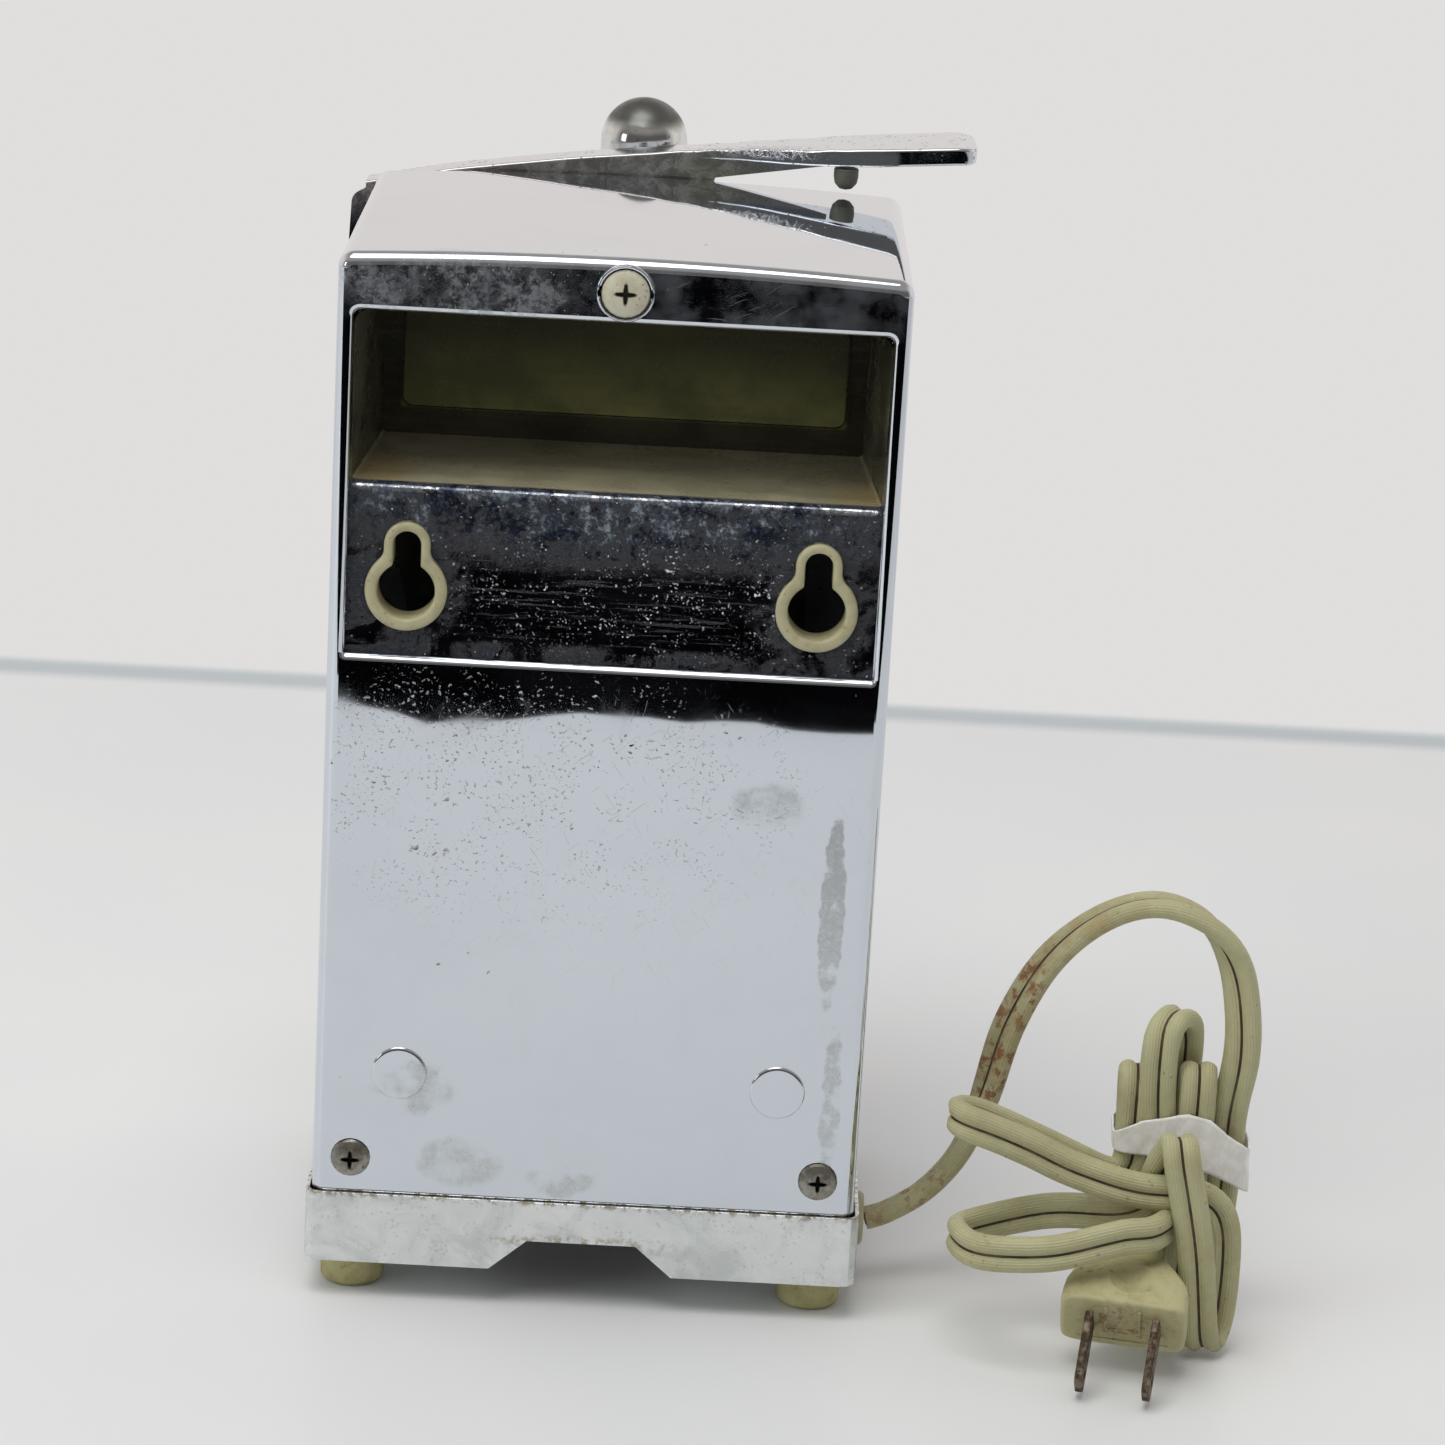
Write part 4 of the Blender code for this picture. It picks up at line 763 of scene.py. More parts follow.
FRONT_FOLD = [
    (-121, -5.6, 30), (-122.9, -5.4, 25), (-123.4, -5.2, 16), (-123.1, -5.2, 8), (-122.4, -5.6, 4.4),
    (-121.2, -7.4, 2.6), (-119.9, -9.2, 4.4), (-118.9, -9.8, 12), (-117.6, -10.1, 22), (-116, -10.3, 30),
    (-114.4, -10.3, 37), (-113.2, -10.2, 42), (-112.8, -8.3, 44.9), (-112, -6.4, 42), (-111, -4.4, 39),
    (-110, -2.6, 34), (-108.6, -1.6, 29), (-104.5, -1.6, 26.6),
]
LOWER_LOOP = [
    (-99, 0, 25.6), (-94, 1.5, 25), (-88.3, 2.6, 23.9), (-80, 1, 22.4), (-73, -3.5, 22), (-71.8, -7, 22.3),
    (-74.3, -14.5, 22.8), (-79.3, -17, 23.1), (-89.6, -18, 24.2), (-99.9, -16.5, 26.7), (-103.6, -15, 27.2),
    (-108, -13.6, 27), (-110.8, -10, 27), (-112.6, -5, 26), (-113.6, -1.6, 25.6), (-113.8, 2, 24.8),
    (-112, 4.2, 22.8), (-109.8, 3.4, 20.6), (-108.2, 0.4, 19.2), (-107.5, -2.6, 18.2),
]

FLAT_X, FLAT_Z = (1, 0, 0), (0, 0, 1)


def width_keys():
    """(route index, width direction): the direction turns smoothly from one key to the next."""
    a = len(ARCH)
    h = a + len(HANK)
    u = h + len(UPPER_BIGHT)
    f = u + len(FRONT_FOLD)
    return [
        (0, (0, 1, -0.15)), (4, (0.15, 1, -0.28)), (7, (0.7, 0.75, -0.1)), (10, (0.1, 1, 0.1)),
        (13, (0.9, 0.4, 0)), (a, FLAT_X), (a + 25, FLAT_X), (a + 27, (0.78, 0.62, 0)), (a + 29, FLAT_X),
        (h - 3, FLAT_X), (h + 1, (0.3, 0, 1)), (h + 3, FLAT_Z), (u - 3, FLAT_Z), (u, (-0.6, 0, 0.8)),
        (u + 2, (-1, 0, 0)), (f - 4, (-1, 0, 0)), (f - 1, (-0.2, 0, -1)), (f + 2, (0, 0, -1)),
        (f + 14, (0, 0, -1)), (f + 18, (-1, 0, -0.3)),
    ]


def smooth_route(points, steps=10):
    """Catmull-Rom curve through the points: (place, route index) pairs."""
    padded = [2 * points[0] - points[1]] + points + [2 * points[-1] - points[-2]]
    line = []
    for i in range(1, len(padded) - 2):
        a, b, c, e = padded[i - 1 : i + 3]
        for k in range(steps):
            t = k / steps
            square, cube = 2 * a - 5 * b + 4 * c - e, 3 * b - a - 3 * c + e
            spot = 0.5 * (2 * b + (c - a) * t + square * t * t + cube * t**3)
            line.append((spot, i - 1 + t))
    line.append((points[-1], len(points) - 1.0))
    return line


def even_line(line, spacing):
    """The same curve with points a fixed distance apart."""
    reach = [0.0]
    for (one, _), (two, _) in zip(line, line[1:]):
        reach.append(reach[-1] + (two - one).length)
    count = round(reach[-1] / spacing)
    result, k = [], 0
    for i in range(count + 1):
        goal = reach[-1] * i / count
        while k < len(line) - 2 and reach[k + 1] < goal:
            k += 1
        share = min((goal - reach[k]) / max(reach[k + 1] - reach[k], 1e-9), 1.0)
        index = line[k][1] + (line[k + 1][1] - line[k][1]) * share
        result.append((line[k][0].lerp(line[k + 1][0], share), index))
    return result


def relaxed(line, rounds=3):
    """Takes the last unevenness out of the curve; its two ends stay."""
    for _ in range(rounds):
        spots = [spot for spot, _ in line]
        line = [line[0]] + [
            ((spots[i - 1] + 2 * spots[i] + spots[i + 1]) / 4, line[i][1]) for i in range(1, len(line) - 1)
        ] + [line[-1]]
    return line


def width_at(index, keys):
    for (i0, w0), (i1, w1) in zip(keys, keys[1:]):
        if index <= i1:
            share = (index - i0) / (i1 - i0)
            share = share * share * (3 - 2 * share)
            return Vector(w0).normalized().lerp(Vector(w1).normalized(), share)
    return Vector(keys[-1][1])


def cord_section():
    """Figure-eight section, (along width, along thickness), and the sides that close its two valleys."""
    meet = math.degrees(math.acos((CORE_SPACING - VALLEY_HALF) / CORE_RADIUS))
    right = arc(CORE_SPACING, 0, CORE_RADIUS, -180 + meet, 180 - meet, 18)
    left = arc(-CORE_SPACING, 0, CORE_RADIUS, meet, 360 - meet, 18)
    return right + left, (len(right) - 1, len(right) + len(left) - 1)


def make_cord(vinyl, groove):
    points = [place(*p) for p in ARCH + HANK + UPPER_BIGHT + FRONT_FOLD + LOWER_LOOP]
    keys = width_keys()
    line = relaxed(even_line(smooth_route(points), CORD_STEP * MM))
    length = sum((two - one).length for (one, _), (two, _) in zip(line, line[1:]))
    section, seams = cord_section()
    bm = bmesh.new()
    around = bm.loops.layers.uv.new("around")
    rings = []
    for i, (spot, index) in enumerate(line):
        tangent = (line[min(i + 1, len(line) - 1)][0] - line[max(i - 1, 0)][0]).normalized()
        across = width_at(index, keys) * Vector((1, -1, 1))
        across = (across - tangent * across.dot(tangent)).normalized()
        through = tangent.cross(across)
        rings.append([bm.verts.new(spot + (across * w + through * t) * MM) for w, t in section])
    count = len(section)
    for one, two in zip(rings, rings[1:]):
        for k in range(count):
            j = (k + 1) % count
            face = bm.faces.new((one[k], one[j], two[j], two[k]))
            face.material_index = 1 if k in seams else 0
            for loop, turn in zip(face.loops, (k, k + 1, k + 1, k)):
                loop[around].uv = (0.0, turn / count)
    bm.faces.new(rings[0])
    bm.faces.new(rings[-1])
    bmesh.ops.recalc_face_normals(bm, faces=bm.faces)
    cord = mesh_piece("mains_cord", bm, vinyl, groove, smooth=60)
    print(f"cord length {length / MM:.1f} mm")
    return cord, [tuple(spot) for spot, _ in line], length


# The tie's upper and lower edge: (x, z)
TIE_TOP = [(-130, 37), (-125, 40), (-120, 44), (-115.7, 44.8), (-107, 43.2), (-103, 40.9), (-100, 39)]
TIE_BOTTOM = [(-130, 28.2), (-126.6, 30.3), (-120, 33), (-110, 35.5), (-104, 36.4), (-100, 36.6)]


def height_at(edge, x):
    """Height of an edge, given as (x, z) points, at x."""
    for (x0, z0), (x1, z1) in zip(edge, edge[1:]):
        if x <= x1:
            return z0 + (z1 - z0) * max(x - x0, 0) / (x1 - x0)
    return edge[-1][1]


def make_tie(material):
    """A wide strip wrapped round the hank, pulled in a little at its middle and creased."""
    corners = [(-101.6, 4.3), (-128.6, 4.1), (-128.9, 15.8), (-120.0, 16.9), (-110.0, 17.4), (-102.0, 15.0)]
    outline = rounded(corners, 2.4, 5)
    dense = []
    for i, (x, d) in enumerate(outline):
        nx, nd = outline[(i + 1) % len(outline)]
        steps = max(1, round(math.dist((x, d), (nx, nd)) / 0.9))
        dense += [(x + (nx - x) * k / steps, d + (nd - d) * k / steps) for k in range(steps)]
    middle = Vector((-115.3, 10.6))
    rings = []
    levels = 16
    for i in range(levels + 1):
        share = i / levels
        pull = 0.12 * math.sin(math.pi * share)
        ring = []
        for k, (x, d) in enumerate(dense):
            out = (Vector((x, d)) - middle).normalized()
            fold = 0.16 * math.sin(x * 1.3 + share * 2.6) + 0.08 * math.sin(x * 3.1 - share * 6 + d)
            low, high = height_at(TIE_BOTTOM, x), height_at(TIE_TOP, x)
            z = low + (high - low) * share + 0.25 * math.sin(k * 0.45) * (share - 0.5)
            shift = out * (fold - pull)
            ring.append(place(x + shift.x, d + shift.y, z))
        rings.append(ring)
    bm = loft(rings, caps=False)
    tie = mesh_piece("cord_tie_strip", bm, material, smooth=80)
    thick = tie.modifiers.new("thickness", "SOLIDIFY")
    thick.thickness = 0.35 * MM
    thick.offset = -1
    return tie


PLUG_FACE = (-103.5, -20.7, 11.5)
PLUG_YAW = 12.0
PLUG_PITCH = 20.0
BLADE_ROOT = (-103.9, -20.3, 14.0)
BLADE_PITCH = 42.0
# (distance from the blade face, half width, half thickness)
PLUG_SECTIONS = [
    (0.0, 11.0, 5.1), (-0.12, 11.45, 5.55), (-0.45, 11.8, 5.85), (-1.1, 11.95, 5.95), (-3.4, 12.0, 6.0),
    (-6.0, 11.8, 6.0), (-8.0, 11.1, 6.0), (-10.0, 9.8, 5.8), (-12.0, 8.4, 5.4), (-14.0, 7.1, 4.7), (-16.0, 5.9, 3.9),
    (-18.0, 4.9, 3.2), (-19.6, 4.4, 2.7), (-20.0, 4.1, 2.4),
]
PLUG_SQUARENESS = 0.27
BLADE = (1.5, 14.6, 6.3)
BLADE_CENTRE = 9.3
BLADE_SPACING = 12.7


def plug_matrix(origin, pitch):
    """Plug frame: local +x along its width, +y out of its blade face, +z out of its thumb side."""
    yaw = Matrix.Rotation(math.radians(-PLUG_YAW), 4, "Z")
    tip = Matrix.Rotation(math.radians(-pitch), 4, "X")
    return Matrix.Translation(place(*origin)) @ yaw @ tip


def squarish(half, thick, sides=64):
    """An oblong section with softly rounded corners."""
    ring = []
    for k in range(sides):
        c, s = math.cos(2 * math.pi * (k + 0.5) / sides), math.sin(2 * math.pi * (k + 0.5) / sides)
        ring.append((half * math.copysign(abs(c) ** PLUG_SQUARENESS, c),
                     thick * math.copysign(abs(s) ** PLUG_SQUARENESS, s)))
    return ring


def face_rib(points, thick, rise):
    """A low raised bar along a line of (x, z) points on the plug's blade face."""
    shapes = []
    for (x0, z0), (x1, z1) in zip(points, points[1:]):
        along = Vector((x1 - x0, z1 - z0)).normalized() * thick / 2
        side = Vector((-along.y, along.x))
        ends = Vector((x0, z0)) - along, Vector((x1, z1)) + along
        outline = [ends[0] - side, ends[1] - side, ends[1] + side, ends[0] + side]
        shapes.append([[Vector((p.x, y, p.y)) for p in outline] for y in (-0.5, rise)])
    return shapes


def make_plug(vinyl, metal):
    matrix = plug_matrix(PLUG_FACE, PLUG_PITCH)
    body = loft([[matrix @ (Vector((x, y, z)) * MM) for x, z in squarish(half, thick)]
                 for y, half, thick in PLUG_SECTIONS])
    rim, depth, top = 4.7, 1.4, 6.0
    radius = (rim * rim + depth * depth) / (2 * depth)
    hollow = bmesh.new()
    bmesh.ops.create_uvsphere(hollow, u_segments=64, v_segments=48, radius=radius * MM)
    bmesh.ops.translate(hollow, verts=hollow.verts, vec=Vector((-0.8, -7.4, top + radius - depth)) * MM)
    bmesh.ops.transform(hollow, matrix=matrix, verts=hollow.verts)
    ribs = [loft([[matrix @ (p * MM) for p in ring] for ring in shape])
            for shape in face_rib([(-8.6, -4.2), (8.6, -4.2)], 0.5, 0.22)
            + face_rib([(-3.2, 3.6), (-3.2, -1.6), (3.2, -1.6), (3.2, 3.6)], 0.7, 0.35)]
    shape = carved(carved(body, cut=[hollow]), joined=ribs)
    moulding = mesh_piece("plug_moulding", shape, vinyl, smooth=35)
    even_shading(moulding)
    blades = []
    width, long, high = (v / 2 for v in BLADE)
    blade_frame = plug_matrix(BLADE_ROOT, BLADE_PITCH)
    for side, name in SIDES:
        outline = rounded([(-long, -high), (long, -high), (long, high), (-long, high)], [0, 1.6, 1.6, 0], 4)
        hole = [(long - 3.4 + y, z) for y, z in arc(0, 0, 1.5, 0, 337.5, 15)]
        solids = [
            loft([[blade_frame @ (Vector((side * BLADE_SPACING / 2 + x, BLADE_CENTRE + y, z)) * MM)
                   for y, z in ring] for x in reach])
            for ring, reach in ((outline, (-width, width)), (hole, (-2 * width, 2 * width)))
        ]
        blade = mesh_piece(f"plug_pin_{name}", carved(solids[0], cut=[solids[1]]), metal, smooth=40)
        rounding(blade, 0.2, 2)
        blades.append(blade)
    return moulding, blades


def make_cord_set():
    vinyl = cord_vinyl()
    cord, path, length = make_cord(vinyl, cord_groove())
    attach(cord, "cord", "cord_lead", "cord_hank", "cord_front_fold", "cord_upper_bight", "cord_lower_loop",
           "cord_plug_lead")
    tie = make_tie(tie_strip())
    attach(tie, "tie", "cord_tie")
    plug, blades = make_plug(plug_vinyl(), blade_metal())
    attach(plug, "cord", "plug_body")
    for blade, node in zip(blades, ("plug_blade_left", "plug_blade_right")):
        attach(blade, "brass", node)
    tuple(place(*EXIT))


# ---------------------------------------------------------------- shell, pocket, screws


def crown(x, inset=0.0):
    return SHELL_TOP - inset - x * x / (2 * CROWN_RADIUS)


def shell_outline(half, inset, bottom, radius, steps=24):
    top = [half - 2 * half * i / steps for i in range(steps + 1)]
    points = [(-half, bottom), (half, bottom)] + [(x, crown(x, inset)) for x in top]
    return rounded(points, [0, 0, radius] + [0] * (steps - 1) + [radius], 7)


def rear_rounded(bm, radius, segments=7):
    """Rounds the edges between the back face (the smallest d) and the walls."""
    back = max(v.co.y for v in bm.verts)
    lowest = min(v.co.z for v in bm.verts)
    edges = [
        e
        for e in bm.edges
        if all(abs(v.co.y - back) < 1e-6 for v in e.verts)
        and not all(v.co.z < lowest + 1e-6 for v in e.verts)
    ]
    bmesh.ops.bevel(bm, geom=edges, offset=radius * MM, segments=segments, profile=0.5, affect="EDGES")
    return bm


def flared(half, low, high, corner, flare, mouth_d, end_d, end_half, end_low, end_high, spread=1):
    """A cutter whose mouth is rolled outwards by flare; corner is its (lower, upper) corner radius.

    spread is 1 if the sides and top flare too, 0 if only the bottom does.
    """
    lower, upper = corner
    rings = []
    steps = 6
    spots = [(mouth_d - 1.0, flare)]
    spots += [(mouth_d + flare * (1 - math.cos(a)), flare * (1 - math.sin(a)))
              for a in (math.pi / 2 * i / steps for i in range(steps + 1))]
    for d, out in spots:
        radii = [lower + out] * 2 + [upper + out] * 2
        side = out * spread
        outline = rounded(rectangle(-half - side, half + side, low - out, high + side), radii, 6)
        rings.append([place(x, d, z) for x, z in outline])
    outline = rounded(rectangle(-end_half, end_half, end_low, end_high), [lower] * 2 + [upper] * 2, 6)
    rings.append([place(x, end_d, z) for x, z in outline])
    return loft(rings)


def make_shell(material):
    outer = rear_rounded(prism(shell_outline(HALF_WIDTH, 0, SHELL_BOTTOM, CORNER), 0, SHELL_DEPTH), BEND)
    inner = rear_rounded(
        prism(shell_outline(HALF_WIDTH - SHELL_WALL, SHELL_WALL, SHELL_BOTTOM - 5, CORNER - SHELL_WALL),
              SHELL_WALL, SHELL_DEPTH + 5), BEND - SHELL_WALL, 4)
    flare = 1.3
    opening = flared(RECESS_HALF - 0.4, RECESS_LOW + 0.4, RECESS_HIGH - 0.4, (0.3, 1.2), flare, 0, 4,
                     RECESS_HALF - 0.4, RECESS_LOW + 0.4, RECESS_HIGH - 0.4)
    body = carved(outer, cut=[inner, opening])
    shell = mesh_piece("shell_skin", body, material)
    even_shading(shell)
    attach(shell, "chrome", "rear_shell")
    slope = [(0, 0.4), (PAD_RADIUS, 0.4), (PAD_RADIUS, 0.0), (PAD_RADIUS - 0.10, -0.18), (PAD_RADIUS - 0.34, -0.32),
             (PAD_RADIUS - 0.75, -0.36), (PAD_RADIUS - 1.6, -0.30), (0, -0.28)]
    for side, name in SIDES:
        pad = turned(slope, (side * PAD_X, 0, PAD_Z), sides=72)
        attach(mesh_piece(f"stamped_pad_{name}", pad, material, smooth=60), "chrome")


def make_pocket(material):
    thick = 1.2
    back = RECESS_DEPTH + thick
    wall = 1.2
    plate = prism(rounded(rectangle(-50.6, 50.6, 127.6, 196.3), 2.0), RECESS_DEPTH, back)
    box_rings = []
    for half, low, high, d in (
        (POCKET_HALF + wall, POCKET_LOW - wall - 1.4, POCKET_HIGH + wall, back - 0.4),
        (POCKET_BACK_HALF + wall, POCKET_LOW - wall + 1.0, POCKET_HIGH + wall - 2.9, POCKET_DEPTH + wall),
    ):
        outline = rounded(rectangle(-half, half, low, high), 2.5)
        box_rings.append([place(x, d, z) for x, z in outline])
    flare = 1.5
    inner = flared(POCKET_HALF, POCKET_LOW - 0.5, POCKET_HIGH, (0.9, 1.6), flare, RECESS_DEPTH, POCKET_DEPTH,
                   POCKET_BACK_HALF, POCKET_LOW + 0.8, POCKET_HIGH - 2.9, spread=0)
    emboss_rings = []
    for inset, d in ((0, POCKET_DEPTH + 0.5), (0, POCKET_DEPTH - 0.4), (0.3, POCKET_DEPTH - 0.8),
                     (0.7, POCKET_DEPTH - 0.9)):
        outline = rounded(rectangle(-42.5 + inset, 42.5 - inset, 168.7 + inset, 188.5 - inset), 2.0)
        emboss_rings.append([place(x, d, z) for x, z in outline])
    sleeves = [prism(keyhole(side * KEYHOLE_X, 1.6), 1, 4) for side in (-1, 1)]
    body = carved(carved(plate, joined=[loft(box_rings)]), cut=[inner, *sleeves], joined=[loft(emboss_rings)])
    pocket = mesh_piece("pocket_pressing", body, material)
    even_shading(pocket)
    attach(pocket, "chrome", "hand_pocket")


def keyhole(cx, grow):
    """Outline of the keyhole opening, grown outwards: an entry circle, two fillets and a round-topped slot."""
    radius, half, fillet = KEYHOLE_RADIUS + grow, SLOT_HALF + 0.76 * grow, 0.7 + grow
    across = half + fillet
    up = math.sqrt((radius + fillet) ** 2 - across**2)
    meet = math.degrees(math.atan2(up, across))
    outline = arc(cx, KEYHOLE_LOW_Z, radius, 180 - meet, 360 + meet, 40)
    outline += arc(cx + across, KEYHOLE_LOW_Z + up, fillet, 180 + meet, 180, 6)
    outline += arc(cx, KEYHOLE_HIGH_Z, half, 0, 180, 20)
    return outline + arc(cx - across, KEYHOLE_LOW_Z + up, fillet, 0, -meet, 6)


def make_bushes(material):
    """Keyhole bushes: soft-edged moulded rings, (growth, depth) round their section."""
    profile = [(0, 1.0), (0.12, 0.62), (0.5, 0.36), (1.1, BUSH_FACE), (1.7, 0.38), (2.1, 0.62), (2.25, 1.0),
               (2.25, 1.45), (1.2, 1.45), (1.2, 6.4), (0, 6.4)]
    for side, name in SIDES:
        rings = [[place(x, d, z) for x, z in keyhole(side * KEYHOLE_X, grow)] for grow, d in profile]
        bm = loft([*rings, rings[0]], caps=False)
        bmesh.ops.remove_doubles(bm, verts=bm.verts, dist=0.000002)
        bmesh.ops.recalc_face_normals(bm, faces=bm.faces)
        bush = mesh_piece(f"hanging_bush_{name}", bm, material, smooth=50)
        attach(bush, "cream_plastic", f"keyhole_bush_{name}")


# ---------------------------------------------------------------- lever and magnet

# Folded top of the lever: (x, back, front, low, high)
ARM_STATIONS = [
    (54.5, LEVER_BACK, ARM_FRONT - 0.6, 200.6, 202.4), (38.0, LEVER_BACK, ARM_FRONT, 204.0, 205.8),
    (13.6, LEVER_BACK, ARM_FRONT, 207.5, 209.4), (-15.0, LEVER_BACK, ARM_FRONT, 210.6, 212.6),
    (-24.0, 84.6, 95.4, 210.7, 213.3), (-34.0, 81.6, 97.6, 211.0, 214.2), (-46.0, 80.2, 99.2, 211.6, 215.2),
    (-62.6, 80.0, 100.0, 212.9, 216.4),
]
THUMB_CORNER = 4.0


def blended(stations, step, rounds):
    """Rows between the stations, evenly spaced in their first number and smoothed."""
    rows = []
    for one, two in zip(stations, stations[1:]):
        count = max(1, round(abs(two[0] - one[0]) / step))
        rows += [[a + (b - a) * k / count for a, b in zip(one, two)] for k in range(count)]
    rows.append(list(stations[-1]))
    for _ in range(rounds):
        inner = [[b[0]] + [(p + 2 * q + r) / 4 for p, q, r in zip(a[1:], b[1:], c[1:])]
                 for a, b, c in zip(rows, rows[1:], rows[2:])]
        rows = [rows[0], *inner, rows[-1]]
    return rows


def lever_bar():
    """The folded bar and thumb plate, a little wavy along the rear crease where the sheet was bent."""
    rings = []
    for x, back, front, low, high in blended(ARM_STATIONS, 1.2, 8):
        worn = max(0.0, 1 - ((x + 22) / 26) ** 2)
        back += 0.20 * worn * math.sin(x * 0.83) * math.sin(x * 0.31 + 1)
        high += 0.16 * worn * math.sin(x * 0.57 + 2) * math.sin(x * 0.23)
        rings.append([place(x, d, z) for d, z in rounded(rectangle(back, front, low, high), 0.55, 4)])
    x, back, front, low, high = ARM_STATIONS[-1]
    for k in range(1, 8):
        turn = math.radians(90 * k / 7)
        inset = THUMB_CORNER * (1 - math.cos(turn))
        thin = 0.5 * (1 - math.cos(turn))
        outline = rounded(rectangle(back + inset, front - inset, low + thin, high - thin), 0.55, 4)
        rings.append([place(x - THUMB_CORNER * math.sin(turn), d, z) for d, z in outline])
    return loft(rings)


def rod(x, z, radius, d0, d1, sides=48):
    return turned([(0, 0), (radius, 0), (radius, d1 - d0), (0, d1 - d0)], (x, d0, z), sides=sides)


def make_lever(material):
    top = [(-38.0, 213.0), (-15.0, 211.6), (0.3, 210.4), (13.6, 208.5), (38.0, 204.9), (52.3, 202.3),
           (57.2, 199.6)]
    end = [(57.6, 190.0), (52.0, 183.0), (40.0, 181.5), (24.0, 186.0)]
    lobe = arc(*CUTTER, 11.3, -30, -180, 16)
    handle_root = [(-13.5, 200.0), (-15.0, 206.9), (-38.0, 210.6)]
    outline = top[::-1] + handle_root[::-1] + lobe[::-1] + end[::-1]
    radii = [2.5 if corner in ((57.2, 199.6), *end[:3]) else 0 for corner in outline]
    plate = prism(rounded(outline, radii, 5), LEVER_BACK, LEVER_BACK + LEVER_SHEET)
    boss = rod(*CUTTER, 5.2, LEVER_BACK + 1, 100.6)
    pivot_boss = rod(*PIVOT, 9.0, LEVER_BACK + 1, 91.0)
    ears = []
    for middle in (-8.6, 8.6):
        outline = rounded([(93.8, 206.5), (93.8, 201.5), (99.8, 201.5), (99.8, 206.5)], [0, 1.0, 2.4, 2.4], 5)
        ears.append(loft([[place(x, d, z) for d, z in outline] for x in (middle - 0.9, middle + 0.9)]))
    lip = prism([(38.0, 200.6), (38.0, 205.0), (-12.0, 211.4), (-12.0, 204.6)], ARM_FRONT - 1.2, ARM_FRONT)
    pin_bore = loft([[place(x, d, z) for d, z in arc(HINGE_D, HINGE_Z, 1.5, 0, 345, 23)] for x in (-15, 15)])
    bores = [rod(*CUTTER, 3.2, 90, 110), rod(*PIVOT, 4.3, 80, 100), pin_bore]
    body = carved(carved(lever_bar(), joined=[plate, boss, pivot_boss, lip, *ears]), cut=bores)
    lever = mesh_piece("lever_pressing", body, material)
    rounding(lever, 0.3, 2, 50)
    attach(lever, "chrome", "lever", body="lever")


def make_magnet_dome(material):
    """The magnet's chromed dome, above a cup that opens downwards."""
    rise = [(MAGNET_RADIUS * math.cos(a), DOME_Z - CUP_Z + MAGNET_RADIUS * math.sin(a))
            for a in (math.radians(90 * i / 20) for i in range(20))]
    rim = [(7.8, 3.5), (7.8, 0.2), (8.0, 0), (8.7, 0), (8.9, 0.2)]
    profile = [(0, 3.5), *rim, *rise, (0, DOME_Z - CUP_Z + MAGNET_RADIUS)]
    dome = mesh_piece("magnet_dome", turned(profile, (0, MAGNET_D, CUP_Z), "z", 72), material, smooth=40)
    attach(dome, "chrome", "magnet_cup", body="magnet_arm")


# ---------------------------------------------------------------- looks of the CAD nodes


# slot: name, tint, dark patches, roughness, patch size
METALS = {
    "satin_steel": ("satin_steel", (0.62, 0.62, 0.61), (0.55, 0.55, 0.54), 0.26, 10.0),
    "zinc": ("zinc_plate", (0.52, 0.52, 0.50), (0.36, 0.35, 0.32), 0.38, 10.0),
    "lamination": ("laminations", (0.30, 0.29, 0.28), (0.17, 0.16, 0.15), 0.5, 4.0),
    "copper": ("copper_coil", (0.55, 0.24, 0.10), (0.36, 0.14, 0.06), 0.4, 2.0),
    "bronze": ("bronze_bush", (0.50, 0.34, 0.16), (0.32, 0.20, 0.10), 0.4, 3.0),
    "magnet": ("magnet", (0.16, 0.16, 0.17), (0.09, 0.09, 0.09), 0.5, 3.0),
}
# slot: name, tint, dirt's tint, roughness, dirt size, share of dirt
PLASTICS = {
    "cream_plastic": ("cream_moulding", (0.45, 0.43, 0.28), (0.29, 0.265, 0.15), 0.34, 4.0, 0.6),
    "grey_rubber": ("grey_rubber", (0.115, 0.12, 0.095), (0.06, 0.058, 0.042), 0.6, 3.0, 0.5),
    "nylon": ("nylon_gear", (0.72, 0.68, 0.55), (0.45, 0.40, 0.28), 0.45, 6.0, 0.5),
    "black_plastic": ("black_phenolic", (0.030, 0.030, 0.030), (0.06, 0.055, 0.05), 0.42, 5.0, 0.5),
}
EDGE_WIDTHS = {"base_pan": 0.35, "front_panel": 0.5, "top_screw": 0.18}
OTHER_EDGES = 0.25


REPLACED = ("rear_shell", "hand_pocket", "lever", "magnet_cup", "keyhole_bush_left", "keyhole_bush_right")


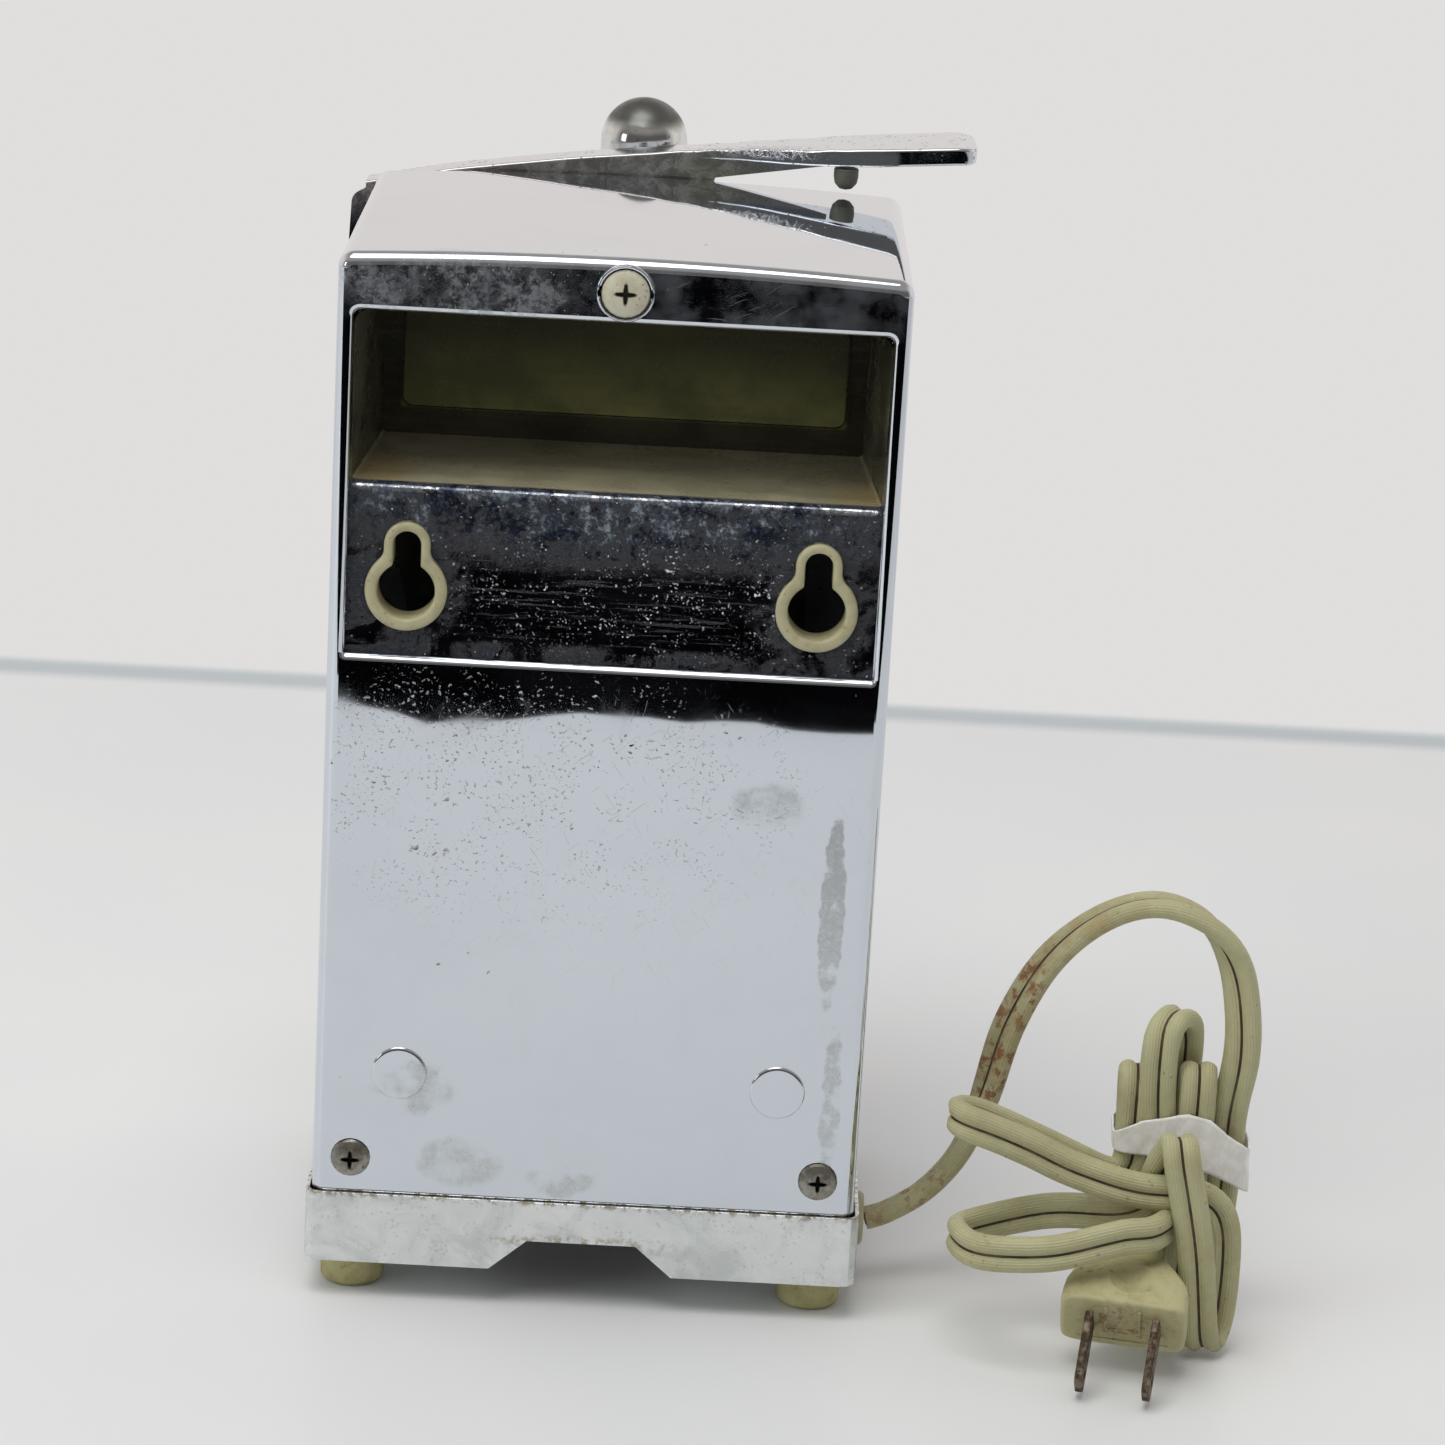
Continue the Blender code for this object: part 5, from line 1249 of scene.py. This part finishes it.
def finish_nodes():
    """Rounds the edges of the CAD nodes that stay and gives each its material."""
    looks = {slot: satin_metal(*row) for slot, row in METALS.items()}
    looks.update({slot: plastic(*row) for slot, row in PLASTICS.items()})
    looks.update(chrome=small_chrome(), putty_rubber=foot_rubber())
    special = {
        "base_pan": base_metal(),
        # The top screw's recess star is painted shade in its cross recess.
        "top_screw": plastic("cream_screw", (0.60, 0.58, 0.44), (0.36, 0.33, 0.20), 0.35, 2.5,
                             recess=(0, TOP_SCREW_Z, 2.2, 0.55)),
    }
    for side, name in SIDES:
        # The lower screws' recess stars are painted shade in their cross recesses.
        special[f"lower_screw_{name}"] = satin_metal(
            f"dark_screw_{name}", (0.36, 0.35, 0.31), (0.19, 0.175, 0.14), 0.36, 2.0,
            (side * LOWER_SCREW_X, LOWER_SCREW_Z, 1.9, 0.5))
    slots = {row["node"]: row["material_slot"] for row in frame["record"]["subparts"]}
    smooth = smooth_by_angle()
    for name, node in NODES.items():
        if name.startswith(("cord_", "plug_")) or name in REPLACED:
            continue
        node.data.materials.clear()
        node.data.materials.append(special.get(name) or looks[slots[name]])
        rounding(node, EDGE_WIDTHS.get(name, OTHER_EDGES), 3 if name in EDGE_WIDTHS else 2, smooth=smooth)


# ---------------------------------------------------------------- room


def make_world():
    """Soft room light; in mirrors the far wall is bright, and the room behind the camera dim."""
    world = bpy.data.worlds.new("room")
    bpy.context.scene.world = world
    world.use_nodes = True
    room = Tree(world.node_tree)
    way = room.node("TexCoord", "Generated", {})
    sideways, upwards = room.part(way, "Y"), room.part(way, "Z")
    light = room.ramp(sideways, -0.2, 0.7, 1.0, 0.42) * room.ramp(upwards, 0.25, 0.9, 1.0, 0.72)
    far = room.ramp(upwards, 0.35, 0.85, 1.0, 0.42)
    behind = room.ramp(upwards, 0.27, 0.62, 0.14, 0.42)
    image = room.node("Mix", 0, {"Factor": room.ramp(sideways, -0.1, 0.5), 2: far, 3: behind})
    background = room.nodes["Background"]
    room.put(background.inputs["Color"], (0.78, 0.755, 0.79))
    room.put(background.inputs["Strength"], light)
    lit = Field(room, background.outputs[0])
    mirrored = room.node("Background", 0, {"Color": (0.81, 0.755, 0.72), "Strength": image})
    in_mirror = room.node("LightPath", "Is Glossy Ray", {})
    both = room.node("MixShader", 0, {0: in_mirror, 1: lit, 2: mirrored})
    room.put(room.nodes["World Output"].inputs["Surface"], both)


# Where the table ends and the wall begins, in mm of the row frame's y
WALL_EDGE = -352.5


def make_floor():
    """Pale table with a painted shadow line at its far edge, and beyond it the wall, on one plane."""
    bm = bmesh.new()
    corners = [(-3.0, -4.0), (3.0, -4.0), (3.0, 3.0), (-3.0, 3.0)]
    bm.faces.new([bm.verts.new((x, y, 0.0)) for x, y in corners])
    look = Look("table_top", Specular_IOR_Level=0.3)
    away = look.axis("Y")
    # Painted shadow: a darker line along the table's far edge, painted into both the table and the wall's glow.
    line = look.ramp(away, WALL_EDGE + 15.5, WALL_EDGE + 4.5)
    line = line * look.ramp(away, WALL_EDGE - 8.5, WALL_EDGE + 0.5)
    cloud = look.ramp(look.noise(160), 0.35, 0.7)
    tint = look.mix(cloud, (0.735, 0.755, 0.745), (0.765, 0.78, 0.76))
    look.made(look.mix(line, tint, (0.50, 0.545, 0.56)), 0.42)
    wall_tint = look.mix(line, (0.748, 0.733, 0.728), (0.50, 0.54, 0.55))
    wall = look.node("Emission", 0, {"Color": wall_tint})
    table = Field(look, look.shader.outputs[0])
    edge = look.ramp(away, WALL_EDGE + 3.5, WALL_EDGE - 3.5)
    both = look.node("MixShader", 0, {0: edge, 1: table, 2: wall})
    look.put(look.nodes["Material Output"].inputs["Surface"], both)
    mesh_piece("floor", bm, look.material)


def make_dark_card():
    """A dark sheet on the table plane in front of the back face, standing in for the dim room behind the camera: a
    painted dark reflection, seen only in the chrome.
    """
    bm = bmesh.new()
    near, far, half, steps = 0.379, 2.6, 1.2, 240
    rows = []
    for i in range(steps + 1):
        x = -half + 2 * half * i / steps
        wave = 0.0022 * math.sin(x * 160) + 0.0016 * math.sin(x * 371 + 1) + 0.0008 * math.sin(x * 910)
        dip = 0.017 * math.exp(-(((x - 0.053) / 0.018) ** 2))
        edge = near + MIDDLE_D * MM + 0.054 * x + wave - dip
        rows.append((bm.verts.new((x, edge, 0.004)), bm.verts.new((x, far, 0.004))))
    for (a, b), (c, e) in zip(rows, rows[1:]):
        bm.faces.new((a, c, e, b))
    look = Look("dark_room_card", Roughness=1.0, Specular_IOR_Level=0.0)
    card_mottle = look.ramp(look.noise(60, 4.0), 0.4, 0.7)
    look.put(look.shader.inputs["Base Color"], look.mix(card_mottle, (0.001, 0.001, 0.0012), (0.004, 0.004, 0.005)))
    card = mesh_piece("dark_room_card", bm, look.material)
    for way in ("camera", "diffuse", "shadow", "transmission"):
        setattr(card, f"visible_{way}", False)


def softbox(name, spot, aim, size, power, tint, mirrored=True):
    light = bpy.data.lights.new(name, "AREA")
    light.shape = "RECTANGLE"
    light.size, light.size_y = size
    light.energy = power
    light.color = tint
    obj = bpy.data.objects.new(name, light)
    obj.location = spot
    obj.rotation_euler = (Vector(aim) - Vector(spot)).to_track_quat("-Z", "Y").to_euler()
    obj.visible_glossy = mirrored
    bpy.context.scene.collection.objects.link(obj)


def make_room():
    make_world()
    make_floor()
    make_dark_card()
    softbox("ceiling_light", (0.3, 0.5, 1.9), (0, 0, 0.05), (1.2, 1.2), 10.0, (1.0, 0.985, 0.97))
    softbox("ceiling_fill", (0.3, 0.5, 1.88), (0, 0, 0.05), (1.2, 1.2), 10.0, (1.0, 0.985, 0.97), False)
    softbox("window_light", (1.6, 0.9, 1.0), (0, 0, 0.1), (1.0, 1.2), 6.0, (0.93, 0.96, 1.0), False)
    softbox("side_window", (1.4, 0.9, 0.5), (0, 0, 0.2), (0.35, 0.5), 1.2, (1.0, 1.0, 1.0))


# ---------------------------------------------------------------- all of it


def main():
    bpy.context.scene.view_settings.view_transform = "Standard"
    make_camera()
    make_cord_set()
    make_room()
    make_shell(chrome_back())
    make_pocket(chrome_pocket())
    make_bushes(plastic("bush_moulding", (0.47, 0.445, 0.27), (0.33, 0.30, 0.16), 0.36, 3.0, 0.6))
    make_lever(lever_chrome())
    make_magnet_dome(dome_chrome())
    finish_nodes()


main()

bpy.context.view_layer.update()
